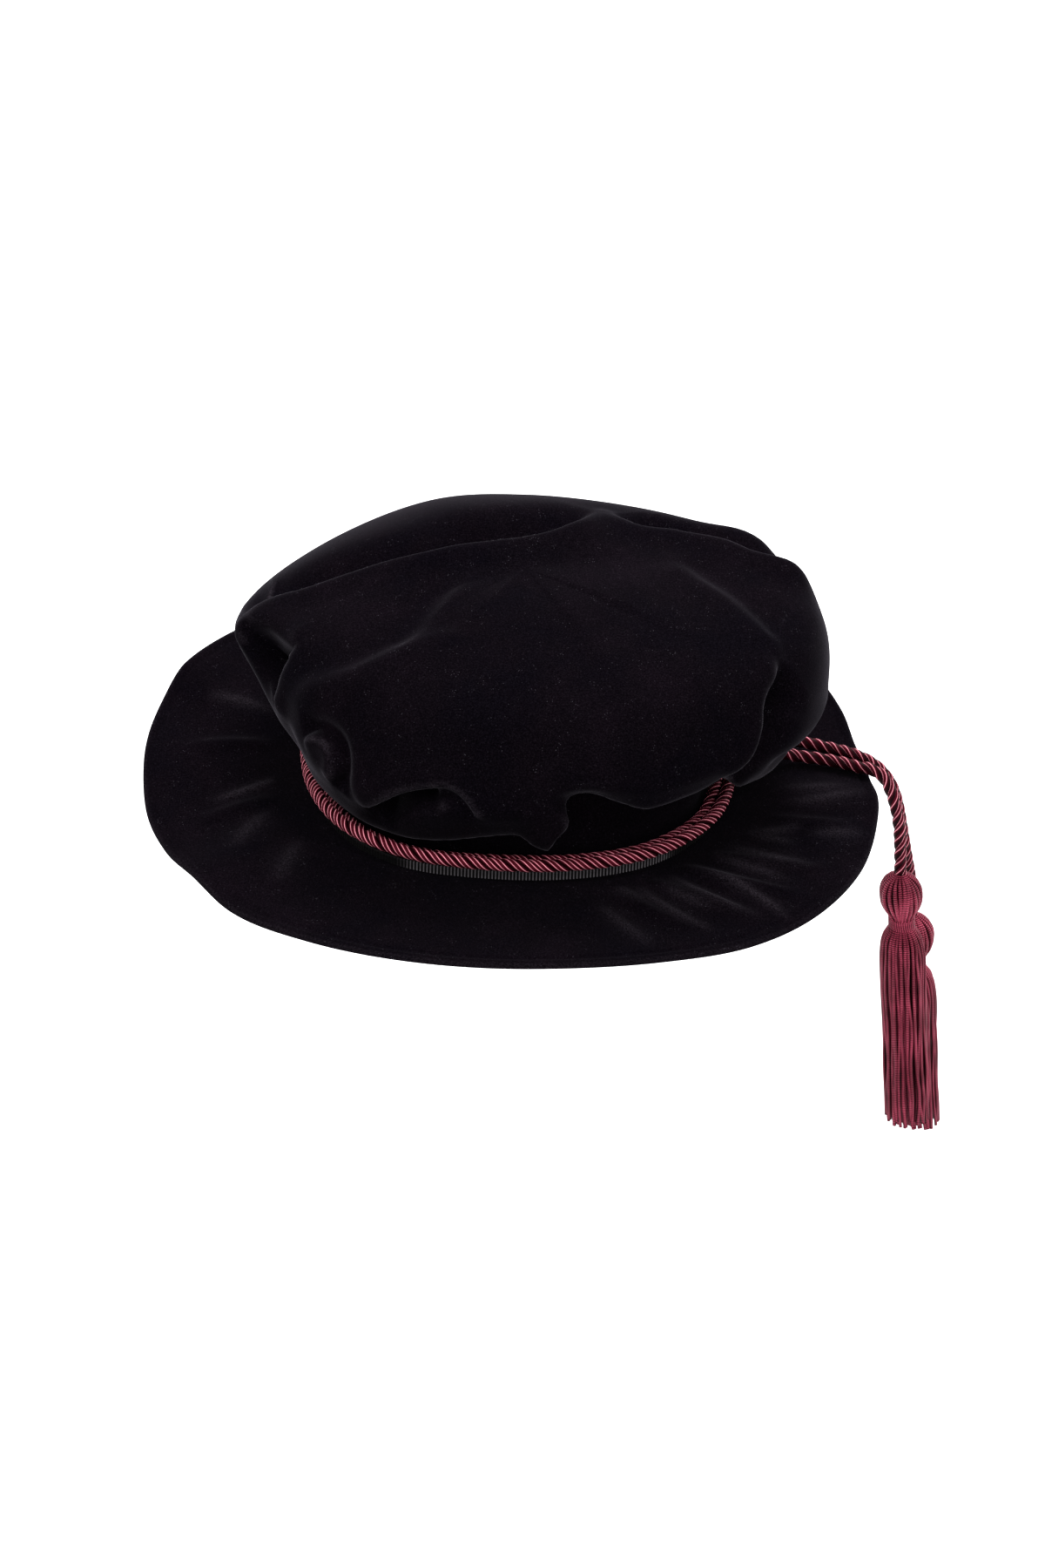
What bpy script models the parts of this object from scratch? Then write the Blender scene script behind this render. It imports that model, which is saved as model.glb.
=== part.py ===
"""Tudor bonnet: a full soft velvet crown on a round velvet brim, with a ribbed ribbon, a twisted
cord wound twice round the foot of the crown, and its two ends hanging over the brim in tassels.

The frame: +Z up, +X towards the side where the tassels hang, -Y the front of the photograph's view.
The origin is the centre of the head opening, level with the brim's underside at that opening.
Angles run anticlockwise seen from above: 0 is +X, 90 the back, 180 the other side, 270 the front.
Sizes in the tables are in millimetres and are brought to metres where a mesh is made.
"""
import math

import bpy
import bmesh
import numpy as np

MM = 0.001

# Driving sizes, in millimetres
OPENING_INSIDE_FOOT = 2.3
BRIM_THICKNESS = 3.0
BRIM_FLAT_RADIUS = 101.0
GAP = 0.3
CROWN_WALL = 1.4
NECK_INSIDE_FOOT = 6.2
CROWN_TOP = 103.0
RIBBON_THICKNESS = 0.8
RIBBON_ROOM = 0.75
RIBBON_HEIGHT = 4.0
CORD_DIAMETER = 5.6
CORD_OUTSIDE_FOOT = 3.9
CORD_ROOM = 0.7
KNOB_RADIUS = 9.6
KNOB_HEIGHT = 21.0
NECK_RADIUS = 5.8
SKIRT_RADIUS = 10.4

# How finely each piece is faceted
BRIM_STEPS = 60
RIBBON_STEPS = 60
CROWN_AROUND = 200
CROWN_UP = 74
CROWN_FACES = 6300
SKIRT_LOCKS = 11

# Foot of the crown: a rounded oval, a little longer from front to back, as a head is
FOOT_RING = [
    # angle, radius
    (0, 89.6),
    (30, 91.4),
    (60, 93.6),
    (90, 94.2),
    (120, 93.6),
    (150, 91.4),
    (172, 89.4),
    (187, 89.2),
    (200, 91.3),
    (211, 93.9),
    (220, 96.1),
    (229, 97.5),
    (238, 97.6),
    (246, 96.6),
    (256, 94.2),
    (270, 92.9),
    (284, 93.7),
    (296, 95.3),
    (306, 96.2),
    (318, 95.5),
    (328, 94.3),
    (338, 92.0),
    (347, 90.0),
]

# Brim edge: where the outline stands out and how far it rises or droops
BRIM_EDGE = [
    # angle, radius, rise
    (5, 155.6, -5.0),
    (14, 155.4, -5.0),
    (24, 158.0, 0.0),
    (35, 160.5, 4.0),
    (60, 161.5, 6.0),
    (90, 162.0, 7.0),
    (125, 162.0, 10.0),
    (146, 162.0, 14.5),
    (158, 162.5, 16.0),
    (167, 163.5, 9.5),
    (180, 164.5, 2.5),
    (190, 164.5, -6.0),
    (202, 162.5, -9.5),
    (212, 161.5, -7.0),
    (222, 162.0, -9.0),
    (238, 162.0, -5.0),
    (256, 162.0, -1.3),
    (275, 162.0, 0.3),
    (292, 162.0, -2.0),
    (308, 162.0, -7.0),
    (325, 161.5, -9.0),
    (338, 160.5, -9.0),
    (350, 159.0, -6.5),
    (358, 158.2, -4.2),
]

# Soft tucks in the brim, each running outwards
BRIM_TUCKS = [
    # angle at the crown, angle at the edge, start and end radius, height, half width
    (322, 334, 106, 150, 1.6, 4.0),
    (312, 325, 104, 152, 1.8, 4.0),
    (303, 314, 106, 152, 1.8, 4.5),
    (293, 301, 110, 146, 1.5, 4.5),
    (343, 349, 112, 152, 1.3, 4.0),
    (196, 198, 108, 146, 1.8, 5.0),
    (172, 178, 108, 150, 1.8, 5.0),
]

# Crown: one row for each upright section, radius and height of the points that its outline passes
CROWN_SECTIONS = [
    # angle, neck r, neck z, edge r, edge z, belly r, belly z, shoulder r, shoulder z, top z
    (0, 88, 31, 123, 29, 133, 54, 126, 85, 100),
    (20, 88, 31, 116, 25, 129, 54, 119, 88, 101),
    (45, 89, 29, 110, 21, 127, 52, 109, 87, 105),
    (70, 90, 28, 110, 22, 127, 50, 104, 84, 108),
    (90, 90, 28, 110, 22, 126, 50, 103, 83, 109),
    (115, 90, 28, 110, 22, 126, 50, 103, 85, 109),
    (140, 89, 28, 110, 24, 127, 54, 104, 83, 106),
    (162, 88, 29, 108, 27, 127, 60, 107, 81, 103),
    (180, 87, 31, 105, 30, 126, 66, 111, 79, 99),
    (194, 87, 32, 103, 31, 116, 57, 107, 78, 97),
    (204, 88, 31, 101, 28.5, 108, 52, 102, 78, 96),
    (213, 89, 28, 102, 23.5, 110, 48, 99, 78, 96),
    (222, 91, 26, 102, 20.5, 112, 46, 98, 78, 96),
    (232, 91, 26, 102, 18.5, 113, 46, 96, 78, 97),
    (242, 91, 27, 102, 19, 113, 48, 95, 78, 98),
    (252, 90, 29, 102, 22, 112, 48, 95, 78, 98),
    (262, 89, 32, 102, 26.5, 111, 47, 95, 78, 98),
    (270, 88, 34, 103, 29, 111, 47, 95, 78, 98),
    (274.5, 88, 30, 104, 24, 111, 48, 96, 79, 98),
    (277.5, 88, 30, 104, 22, 112, 52, 96, 79, 98),
    (281, 88, 48, 106, 43.5, 113, 58, 97, 80, 98),
    (286, 88, 54, 109, 51.5, 115, 61, 98, 81, 98),
    (293, 88, 50, 111, 46, 117, 59, 100, 81, 98),
    (300, 89, 46, 113, 41, 118, 57, 102, 82, 99),
    (308, 89, 46, 114, 42, 119, 57, 104, 82, 99),
    (316, 88, 46, 114, 42, 120, 58, 107, 83, 99),
    (324, 87, 40, 112, 37, 122, 57, 110, 84, 99),
    (332, 87, 32, 110, 27, 125, 55, 114, 84, 100),
    (342, 87, 31, 115, 25, 129, 53, 119, 84, 100),
]

# Folds of the crown. The crest of each runs through the listed points; the cloth dips on its left
# hand, going along it as seen from outside, and the crest laps over that dip.
CROWN_FOLDS = [
    # crest points (x, y, z), crest rise, half width, dip depth, distance, near and far half width, lap
    # the crease across the top, from the left corner to where the cloth is drawn together
    ([(-125, 2, 70), (-116, 6, 76), (-97, 1, 85), (-78, 3, 92), (-60, 6, 97), (-42, 8, 101), (-24, 12, 104),
      (-7, 15, 105), (11, 22, 105), (23, 33, 105), (34, 54, 103)], 2.6, 4.5, 9.0, 7.0, 5.5, 15.0, 3.5),
    # and on to the other side
    ([(34, 54, 103), (46, 41, 102), (66, 40, 99), (84, 34, 96), (96, 28, 94), (106, 26, 92), (122, 22, 82)],
     2.4, 4.5, 8.0, 7.0, 5.5, 13.0, 3.0),
    ([(46, 53, 101), (58, 50, 100), (70, 46, 98)], 1.6, 4.0, 2.6, 5.0, 4.0, 7.0, 0.8),
    # the deep pocket at the left, seen between the front fold and the back one
    ([(-104, -33, 46), (-106, -37, 52), (-105, -39, 58), (-103, -39, 66), (-100, -38, 74), (-96, -32, 81)],
     2.2, 4.5, 22.0, 15.0, 11.0, 11.0, 3.4),
    ([(-94, -33, 82), (-103, -21, 81), (-112, -9, 79), (-122, 2, 73)], 2.0, 4.0, 8.0, 8.0, 6.5, 8.0, 2.0),
    # the front lobe's right edge over the rear one
    ([(107, -40, 86), (104, -50, 82), (101, -57, 79), (99, -63, 74), (99, -67, 67), (98, -71, 61),
      (95, -74, 55), (90, -77, 50), (83, -81, 47)], 3.0, 5.0, 12.0, 9.0, 7.0, 12.0, 2.8),
    # the pocket at the front left, under the front lobe
    ([(-33, -106, 57), (-42, -104, 55), (-51, -100, 50), (-60, -94, 41), (-67, -86, 32)],
     2.4, 3.6, 16.0, 7.5, 5.0, 5.5, 2.4),
    ([(-13, -110, 40), (-17, -110, 49), (-23, -108, 55), (-31, -106, 58), (-40, -104, 56)],
     1.8, 3.2, 2.6, 5.5, 4.0, 6.0, 2.0),
    # the small curl beside it
    ([(-94, -63, 49), (-86, -71, 55), (-80, -77, 54), (-79, -80, 47), (-82, -79, 38)],
     2.4, 3.0, 5.5, 5.4, 3.2, 5.5, 0.6),
    # soft creases over the front
    ([(-101, -44, 59), (-93, -53, 67), (-84, -59, 74), (-71, -62, 81), (-58, -58, 86), (-47, -51, 90),
      (-39, -42, 93), (-33, -31, 95), (-26, -18, 98), (-17, -3, 101)], 1.9, 6.5, 1.6, 12.0, 8.0, 11.0, 0.6),
    ([(-52, -57, 87), (-43, -53, 90), (-34, -50, 93), (-24, -48, 94)], 0.9, 5.5, 0.8, 10.0, 7.0, 9.0, 0.3),
    ([(61, 18, 100), (70, 4, 99), (85, -12, 96), (97, -27, 93), (104, -34, 90), (113, -33, 85)],
     1.5, 6.0, 1.4, 10.0, 7.0, 10.0, 0.5),
    # the rear lobe's fold above its lower edge
    ([(132, -2, 46), (129, -14, 45), (121, -27, 45), (112, -38, 47), (104, -45, 50)],
     2.2, 4.0, 5.0, 8.0, 6.5, 9.0, 1.6),
]
FOLD_FADE = 0.16

# Soft pulls of the crown's cloth
CROWN_PULLS = [
    # point (x, y, z), how far the pull reaches, the way it moves the cloth
    ((16, -109, 38), 8.0, (5.5, 0.0, 0.0)),
    ((15, -109, 55), 9.5, (-8.0, 0.0, 1.5)),
    ((-119, -18, 61), 13.0, (10.0, 6.0, 0.0)),
    ((114, 27, 90), 13.0, (3.0, 0.5, 3.0)),
    ((94, 50, 96), 19.0, (2.0, 2.0, 5.0)),
]

# Gathers of the crown at the back and the sides, each rising from the crown's lower edge
CROWN_GATHERS = [
    # angle at the lower edge, angle at the top, height of the top, crest rise and half width,
    # dip depth, distance, near and far half width, lap
    (20, 12, 64, 1.8, 5.0, 4.4, 8.0, 6.0, 9.0, 1.8),
    (47, 52, 58, 1.8, 5.0, 5.4, 9.0, 6.5, 10.0, 2.0),
    (72, 66, 76, 2.4, 5.5, 6.4, 9.5, 7.0, 11.0, 2.4),
    (98, 103, 56, 1.8, 5.0, 5.0, 8.5, 6.0, 9.0, 1.8),
    (121, 115, 72, 2.2, 5.5, 6.0, 9.0, 7.0, 11.0, 2.2),
    (147, 150, 60, 1.8, 5.0, 5.0, 8.5, 6.0, 9.0, 1.8),
    (170, 163, 52, 1.6, 5.0, 4.2, 8.0, 5.5, 8.0, 1.6),
]


# The cord round the foot: the outer turn lies on the ribbon, the inner turn above and behind it
WRAP_TURNS = [
    # angle, outer turn's height, how far inside it the inner turn lies, inner turn's height
    (0, 12.0, 5.9, 13.0),
    (40, 12.0, 6.0, 12.0),
    (60, 12.0, 5.7, 12.0),
    (140, 12.0, 5.7, 12.0),
    (190, 13.0, 5.6, 10.2),
    (232, 13.2, 5.6, 10.0),
    (252, 12.4, 5.6, 10.1),
    (270, 12.0, 5.7, 10.7),
    (300, 12.0, 5.6, 10.4),
    (330, 12.0, 5.5, 10.0),
    (342, 12.0, 5.6, 12.5),
    (352, 12.0, 5.6, 14.5),
]
WRAP_START = 34.0
WRAP_END = 349.0
CHANGE_FROM = 352.0
CHANGE_TO = 382.0


def around(table, column, degrees):
    """Reads a column of a table smoothly round the full circle, at any angles."""
    angles = np.array([row[0] for row in table], float)
    values = np.array([row[column] for row in table], float)
    angles = np.concatenate([angles[-2:] - 360, angles, angles[:2] + 360])
    values = np.concatenate([values[-2:], values, values[:2]])
    slopes = np.gradient(values, angles)
    rises = np.diff(values) / np.diff(angles)
    for i in range(1, len(values) - 1):
        if rises[i - 1] * rises[i] <= 0:
            slopes[i] = 0.0
        else:
            limit = 2.5 * min(abs(rises[i - 1]), abs(rises[i]))
            slopes[i] = math.copysign(min(abs(slopes[i]), limit), slopes[i])
    at = np.mod(np.asarray(degrees, float), 360)
    i = np.clip(np.searchsorted(angles, at, side="right") - 1, 1, len(angles) - 3)
    span = angles[i + 1] - angles[i]
    t = (at - angles[i]) / span
    start = values[i] * (2 * t**3 - 3 * t**2 + 1) + slopes[i] * span * (t**3 - 2 * t**2 + t)
    end = values[i + 1] * (3 * t**2 - 2 * t**3) + slopes[i + 1] * span * (t**3 - t**2)
    return start + end


def smooth_step(x):
    """Goes from 0 to 1 with flat ends."""
    x = np.clip(x, 0.0, 1.0)
    return x * x * (3 - 2 * x)


def spline(points, samples):
    """Points at even parameter steps on a centripetal spline through all the given points."""
    p = np.asarray(points, float)
    p = np.concatenate([[2 * p[0] - p[1]], p, [2 * p[-1] - p[-2]]])
    steps = np.sqrt(np.linalg.norm(np.diff(p, axis=0), axis=1))
    knots = np.concatenate([[0], np.cumsum(steps)])
    at = np.linspace(knots[1], knots[-2], samples)
    i = np.clip(np.searchsorted(knots, at, side="right") - 1, 1, len(p) - 3)
    t0, t1, t2, t3 = (knots[i + k][:, None] for k in (-1, 0, 1, 2))
    p0, p1, p2, p3 = (p[i + k] for k in (-1, 0, 1, 2))
    t = at[:, None]
    a1 = (t1 - t) / (t1 - t0) * p0 + (t - t0) / (t1 - t0) * p1
    a2 = (t2 - t) / (t2 - t1) * p1 + (t - t1) / (t2 - t1) * p2
    a3 = (t3 - t) / (t3 - t2) * p2 + (t - t2) / (t3 - t2) * p3
    b1 = (t2 - t) / (t2 - t0) * a1 + (t - t0) / (t2 - t0) * a2
    b2 = (t3 - t) / (t3 - t1) * a2 + (t - t1) / (t3 - t1) * a3
    return (t2 - t) / (t2 - t1) * b1 + (t - t1) / (t2 - t1) * b2


def evenly(points, count):
    """The same line with its points at even distances."""
    p = np.asarray(points, float)
    run = np.concatenate([[0], np.cumsum(np.linalg.norm(np.diff(p, axis=0), axis=1))])
    at = np.linspace(0, run[-1], count)
    return np.stack([np.interp(at, run, p[:, k]) for k in range(p.shape[1])], axis=1)


def polar(angle, radius, height):
    """A point in millimetres from its angle in degrees, radius and height."""
    a = math.radians(angle)
    return (radius * math.cos(a), radius * math.sin(a), height)


def material(name, colour, roughness, sheen=0.0):
    """A plain Principled material."""
    made = bpy.data.materials.new(name)
    made.use_nodes = True
    shader = made.node_tree.nodes["Principled BSDF"]
    shader.inputs["Base Color"].default_value = (*colour, 1.0)
    shader.inputs["Roughness"].default_value = roughness
    shader.inputs["Metallic"].default_value = 0.0
    shader.inputs["Sheen Weight"].default_value = sheen
    return made


def mesh_piece(name, points, faces, look, crease=50):
    """A named object from points in millimetres, smooth except at sharp edges."""
    mesh = bpy.data.meshes.new(name)
    mesh.from_pydata([tuple(p) for p in np.asarray(points, float) * MM], [], faces)
    shape = bmesh.new()
    shape.from_mesh(mesh)
    bmesh.ops.recalc_face_normals(shape, faces=shape.faces)
    shape.to_mesh(mesh)
    shape.free()
    mesh.shade_smooth()
    mesh.set_sharp_from_angle(angle=math.radians(crease))
    mesh.materials.append(look)
    piece = bpy.data.objects.new(name, mesh)
    bpy.context.collection.objects.link(piece)
    return piece


def ring_faces(around_steps, section_steps):
    """Faces of a grid that closes both round the ring and round its section."""
    faces = []
    for i in range(around_steps):
        j = (i + 1) % around_steps
        for k in range(section_steps):
            m = (k + 1) % section_steps
            faces.append((i * section_steps + k, j * section_steps + k,
                          j * section_steps + m, i * section_steps + m))
    return faces


def brim_height(degrees, radius):
    """Height of the brim's underside, in millimetres."""
    edge = around(BRIM_EDGE, 1, degrees)
    out = np.clip((radius - BRIM_FLAT_RADIUS) / (edge - BRIM_FLAT_RADIUS), 0, 1.1)
    height = around(BRIM_EDGE, 2, degrees) * out**1.3
    for inner, outer, start, end, rise, width in BRIM_TUCKS:
        along = np.clip((radius - start) / (end - start), 0, 1)
        middle = inner + (outer - inner) * along
        off = (np.mod(degrees - middle + 180, 360) - 180) * math.pi / 180 * radius
        fade = np.sin(np.pi * along) ** 0.8
        height = height + rise * fade * np.exp(-(off / width) ** 2)
    return height


def foot_radius(degrees):
    """Radius of the crown's foot where it stands on the brim, in millimetres."""
    return around(FOOT_RING, 1, degrees)


def wound_cord(degrees):
    """Radius and height of the wound cord's outer turn, and then of its inner turn."""
    outer_z, apart, inner_z = (around(WRAP_TURNS, column, degrees) for column in (1, 2, 3))
    outer_r = foot_radius(degrees) + CORD_OUTSIDE_FOOT
    return (outer_r, outer_z), (outer_r - apart, inner_z)


def make_brim(look):
    """The brim: two faces of cloth over a stiff layer, with a rounded edge."""
    radii_in = [0.0, 0.10, 0.28, 0.5, 0.72, 0.9]
    points = []
    for i in range(BRIM_STEPS):
        degrees = 360.0 * i / BRIM_STEPS
        edge = float(around(BRIM_EDGE, 1, degrees))
        opening = float(foot_radius(degrees)) - OPENING_INSIDE_FOOT
        section = []
        for part in radii_in:
            section.append((opening + part * (edge - 1.5 - opening), 0.0))
        section += [(edge - 1.5, 0.0), (edge - 0.3, 0.7), (edge - 0.3, BRIM_THICKNESS - 0.7)]
        section.append((edge - 1.5, BRIM_THICKNESS))
        for part in reversed(radii_in):
            section.append((opening + part * (edge - 1.5 - opening), BRIM_THICKNESS))
        for radius, lift in section:
            height = float(brim_height(degrees, radius))
            points.append(polar(degrees, radius, height + lift))
    return mesh_piece("brim", points, ring_faces(BRIM_STEPS, len(points) // BRIM_STEPS), look)


def crown_section(degrees, samples):
    """Outline of the crown's cloth at one angle, from its foot on the brim to the top."""
    neck_r, neck_z, edge_r, edge_z, belly_r, belly_z, shoulder_r, shoulder_z, top_z = (
        float(around(CROWN_SECTIONS, column, degrees)) for column in range(1, 10))
    foot_r = float(foot_radius(degrees))
    foot_z = BRIM_THICKNESS + GAP
    line = [
        (foot_r, foot_z),
        (foot_r - 1.9, foot_z + 2.2),
        (foot_r - 4.6, foot_z + 4.2),
        (foot_r - NECK_INSIDE_FOOT, foot_z + 8.5),
        (foot_r - NECK_INSIDE_FOOT, foot_z + 15.0),
        (neck_r, neck_z),
        (neck_r * 0.4 + edge_r * 0.6, neck_z * 0.5 + edge_z * 0.5 + 2.4),
        (edge_r - 2.6, edge_z + 0.2),
        (edge_r + 0.5, edge_z + 2.6),
        (edge_r * 0.55 + belly_r * 0.45, edge_z * 0.6 + belly_z * 0.4),
        (belly_r, belly_z),
        (shoulder_r, shoulder_z),
        (shoulder_r * 0.45, top_z),
        (0.0, CROWN_TOP),
    ]
    return spline(line, samples)


def crown_cloth(around_steps, up_steps):
    """The outer face of the crown as a grid of points, one row for each angle."""
    grid = np.zeros((around_steps, up_steps, 3))
    for i in range(around_steps):
        degrees = 360.0 * i / around_steps
        line = evenly(crown_section(degrees, 160), up_steps)
        a = math.radians(degrees)
        grid[i] = np.stack([line[:, 0] * math.cos(a), line[:, 0] * math.sin(a), line[:, 1]], axis=1)
    return grid


def grid_normals(grid):
    """Outward normals of the crown's grid."""
    along = np.roll(grid, -1, axis=0) - np.roll(grid, 1, axis=0)
    up = np.gradient(grid, axis=1)
    normal = np.cross(along, up)
    length = np.linalg.norm(normal, axis=2, keepdims=True)
    return normal / np.maximum(length, 1e-9)


def fold_shift(cloth, normals, fold):
    """How far one fold moves each point of the cloth."""
    crest_line, rise, crest_width, depth, dip_at, near_width, far_width, lap = fold
    line = evenly(spline(crest_line, 120), 30)
    start, run = line[:-1], np.diff(line, axis=0)
    best = np.full(len(cloth), 1e9)
    off = np.zeros_like(cloth)
    tangent = np.zeros_like(cloth)
    along = np.zeros(len(cloth))
    for k in range(len(run)):
        t = np.clip((cloth - start[k]) @ run[k] / (run[k] @ run[k]), 0, 1)
        away = cloth - start[k] - t[:, None] * run[k]
        far = (away**2).sum(axis=1)
        near = far < best
        best[near] = far[near]
        off[near] = away[near]
        tangent[near] = run[k] / np.linalg.norm(run[k])
        along[near] = (k + t[near]) / len(run)
    left = np.cross(normals, tangent)
    left /= np.maximum(np.linalg.norm(left, axis=1, keepdims=True), 1e-6)
    side = (off * left).sum(axis=1)
    beyond = np.sqrt(np.maximum(best - side**2, 0))
    fade = smooth_step(along / FOLD_FADE) * smooth_step((1 - along) / FOLD_FADE)
    fade = (0.12 + 0.88 * fade) * np.exp(-(beyond / (2 * crest_width))**2)
    wide = np.where(side < 0, 1.7 * crest_width, crest_width)
    crest = np.exp(-(side / wide)**2)
    dip = np.exp(-((side - dip_at) / np.where(side < dip_at, near_width, far_width))**2)
    return (normals * (rise * crest - depth * dip)[:, None] + left * (lap * crest)[:, None]) * fade[:, None]


def clear_of_cord(grid, normals, wall):
    """Moves the cloth's points that would touch the wound cord, in front of it or behind it."""
    angles = np.degrees(np.arctan2(grid[:, :, 1], grid[:, :, 0]))
    radii = np.hypot(grid[:, :, 0], grid[:, :, 1])
    outward = normals[:, :, 0] * np.cos(np.radians(angles)) + normals[:, :, 1] * np.sin(np.radians(angles))
    room = CORD_DIAMETER / 2 + CORD_ROOM
    for middle_r, middle_z in wound_cord(angles):
        off_r = radii - middle_r
        off_z = grid[:, :, 2] - middle_z
        far = np.maximum(np.hypot(off_r, off_z), 1e-6)
        cord_behind = off_r * outward + off_z * normals[:, :, 2] > 0
        need = np.where(cord_behind, room + wall, room)
        push = np.maximum(need - far, 0) / far
        radii = radii + off_r * push
        grid[:, :, 2] += off_z * push
    grid[:, :, 0] = radii * np.cos(np.radians(angles))
    grid[:, :, 1] = radii * np.sin(np.radians(angles))
    return grid


def gather_crest(low_angle, top_angle, top_height):
    """Points along a gather's crest, on the crown's plain cloth."""
    points = []
    for part in (0.0, 0.25, 0.5, 0.75, 1.0):
        degrees = low_angle + (top_angle - low_angle) * part
        section = crown_section(degrees, 160)
        lowest = int(np.argmax(section[:, 0] > float(around(CROWN_SECTIONS, 3, degrees)) - 1))
        height = section[lowest, 1] + (top_height - section[lowest, 1]) * part
        outside = section[lowest:]
        place = outside[int(np.argmin(np.abs(outside[:, 1] - height)))]
        points.append(polar(degrees, place[0], place[1]))
    return points


def folded_crown(around_steps, up_steps):
    """The crown's cloth with its folds, lying clear of the brim and the cord."""
    grid = crown_cloth(around_steps, up_steps)
    normals = grid_normals(grid).reshape(-1, 3)
    cloth = grid.reshape(-1, 3)
    moved = cloth.copy()
    gathers = [(gather_crest(*row[:3]), *row[3:]) for row in CROWN_GATHERS]
    for fold in CROWN_FOLDS + gathers:
        moved += fold_shift(cloth, normals, fold)
    for middle, reach, way in CROWN_PULLS:
        near = np.exp(-((moved - np.array(middle, float))**2).sum(axis=1) / reach**2)
        moved += near[:, None] * np.array(way, float)
    grid = moved.reshape(grid.shape)
    grid[:, :, 2] = np.maximum(grid[:, :, 2], BRIM_THICKNESS + GAP)
    return clear_of_cord(grid, grid_normals(grid), CROWN_WALL)


def smoothed(values, rounds):
    """The same grid of directions, evened out with its neighbours."""
    for _ in range(rounds):
        up = np.concatenate([values[:, 1:], values[:, -1:]], axis=1)
        down = np.concatenate([values[:, :1], values[:, :-1]], axis=1)
        values = (2 * values + np.roll(values, 1, axis=0) + np.roll(values, -1, axis=0) + up + down) / 6
    return values / np.maximum(np.linalg.norm(values, axis=2, keepdims=True), 1e-9)


def make_crown(look):
    """The crown: one wall of cloth, open below, thinned to few faces where it lies smooth."""
    grid = folded_crown(CROWN_AROUND, CROWN_UP)
    inner = grid - smoothed(grid_normals(grid), 3) * CROWN_WALL
    inner[:, 0, 2] = grid[:, 0, 2]
    inner[:, 1:, 2] = np.maximum(inner[:, 1:, 2], BRIM_THICKNESS + GAP + 0.2)
    outer_rows = grid[:, :-1].reshape(-1, 3)
    inner_rows = inner[:, :-1].reshape(-1, 3)
    top = grid[:, -1].mean(axis=0)
    points = np.concatenate([outer_rows, inner_rows, [top], [top - (0, 0, CROWN_WALL)]])
    rows = CROWN_UP - 1
    skin = CROWN_AROUND * rows
    faces = []
    for i in range(CROWN_AROUND):
        j = (i + 1) % CROWN_AROUND
        for k in range(rows - 1):
            a, b, c, d = i * rows + k, j * rows + k, j * rows + k + 1, i * rows + k + 1
            faces.append((a, b, c, d))
            faces.append((skin + a, skin + d, skin + c, skin + b))
        faces.append((i * rows + rows - 1, j * rows + rows - 1, 2 * skin))
        faces.append((skin + i * rows + rows - 1, 2 * skin + 1, skin + j * rows + rows - 1))
        faces.append((i * rows, skin + i * rows, skin + j * rows, j * rows))
    crown = mesh_piece("crown", points, faces, look, crease=70)
    thin = crown.modifiers.new("fewer faces", "DECIMATE")
    thin.ratio = CROWN_FACES / (4 * CROWN_AROUND * rows)
    thin.use_collapse_triangulate = True
    return crown


def make_ribbon(look):
    """The ribbon: a narrow ribbed band on edge round the foot of the crown."""
    low = BRIM_THICKNESS + GAP
    high = low + RIBBON_HEIGHT
    points = []
    for i in range(RIBBON_STEPS):
        degrees = 360.0 * i / RIBBON_STEPS
        inner = float(foot_radius(degrees)) + RIBBON_ROOM
        outer = inner + RIBBON_THICKNESS
        for radius, height in ((inner, low), (outer, low), (outer, high), (inner, high)):
            points.append(polar(degrees, radius, height))
    return mesh_piece("ribbon_band", points, ring_faces(RIBBON_STEPS, 4), look)


def tube(name, route, diameter, look, spacing=2.0):
    """A round cord along a smooth line through the route's points, in millimetres."""
    line = spline(route, 40 * len(route))
    length = float(np.linalg.norm(np.diff(line, axis=0), axis=1).sum())
    count = max(6, int(round(length / (spacing * diameter))) + 1)
    line = evenly(line, count)
    curve = bpy.data.curves.new(name, "CURVE")
    curve.dimensions = "3D"
    curve.bevel_depth = diameter / 2 * MM
    curve.bevel_resolution = 2
    curve.use_fill_caps = True
    run = curve.splines.new("POLY")
    run.points.add(count - 1)
    for point, place in zip(run.points, line):
        point.co = (*(place * MM), 1.0)
    curve.materials.append(look)
    piece = bpy.data.objects.new(name, curve)
    bpy.context.collection.objects.link(piece)
    return piece


def on_brim(route):
    """The same route, raised where it would sink into the brim."""
    raised = []
    for x, y, z in route:
        degrees, radius = math.degrees(math.atan2(y, x)) % 360, math.hypot(x, y)
        if radius < around(BRIM_EDGE, 1, degrees):
            lying = brim_height(degrees, radius) + BRIM_THICKNESS + CORD_DIAMETER / 2 + 2 * GAP
            z = max(z, float(lying))
        raised.append((x, y, z))
    return raised


def wrap_point(degrees):
    """A point of the wound cord's middle line, at any angle along its two turns."""
    change = float(smooth_step((degrees - CHANGE_FROM) / (CHANGE_TO - CHANGE_FROM)))
    outer, inner = wound_cord(degrees)
    radius = float(outer[0] + (inner[0] - outer[0]) * change)
    height = float(outer[1] + (inner[1] - outer[1]) * change)
    return polar(degrees, radius, height)


def make_wrap(look):
    """The cord wound twice round the foot of the crown."""
    route = [wrap_point(d) for d in np.linspace(WRAP_START, 360 + WRAP_END, 112)]
    return tube("wrap_cord", route, CORD_DIAMETER, look, spacing=1.9)


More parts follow.
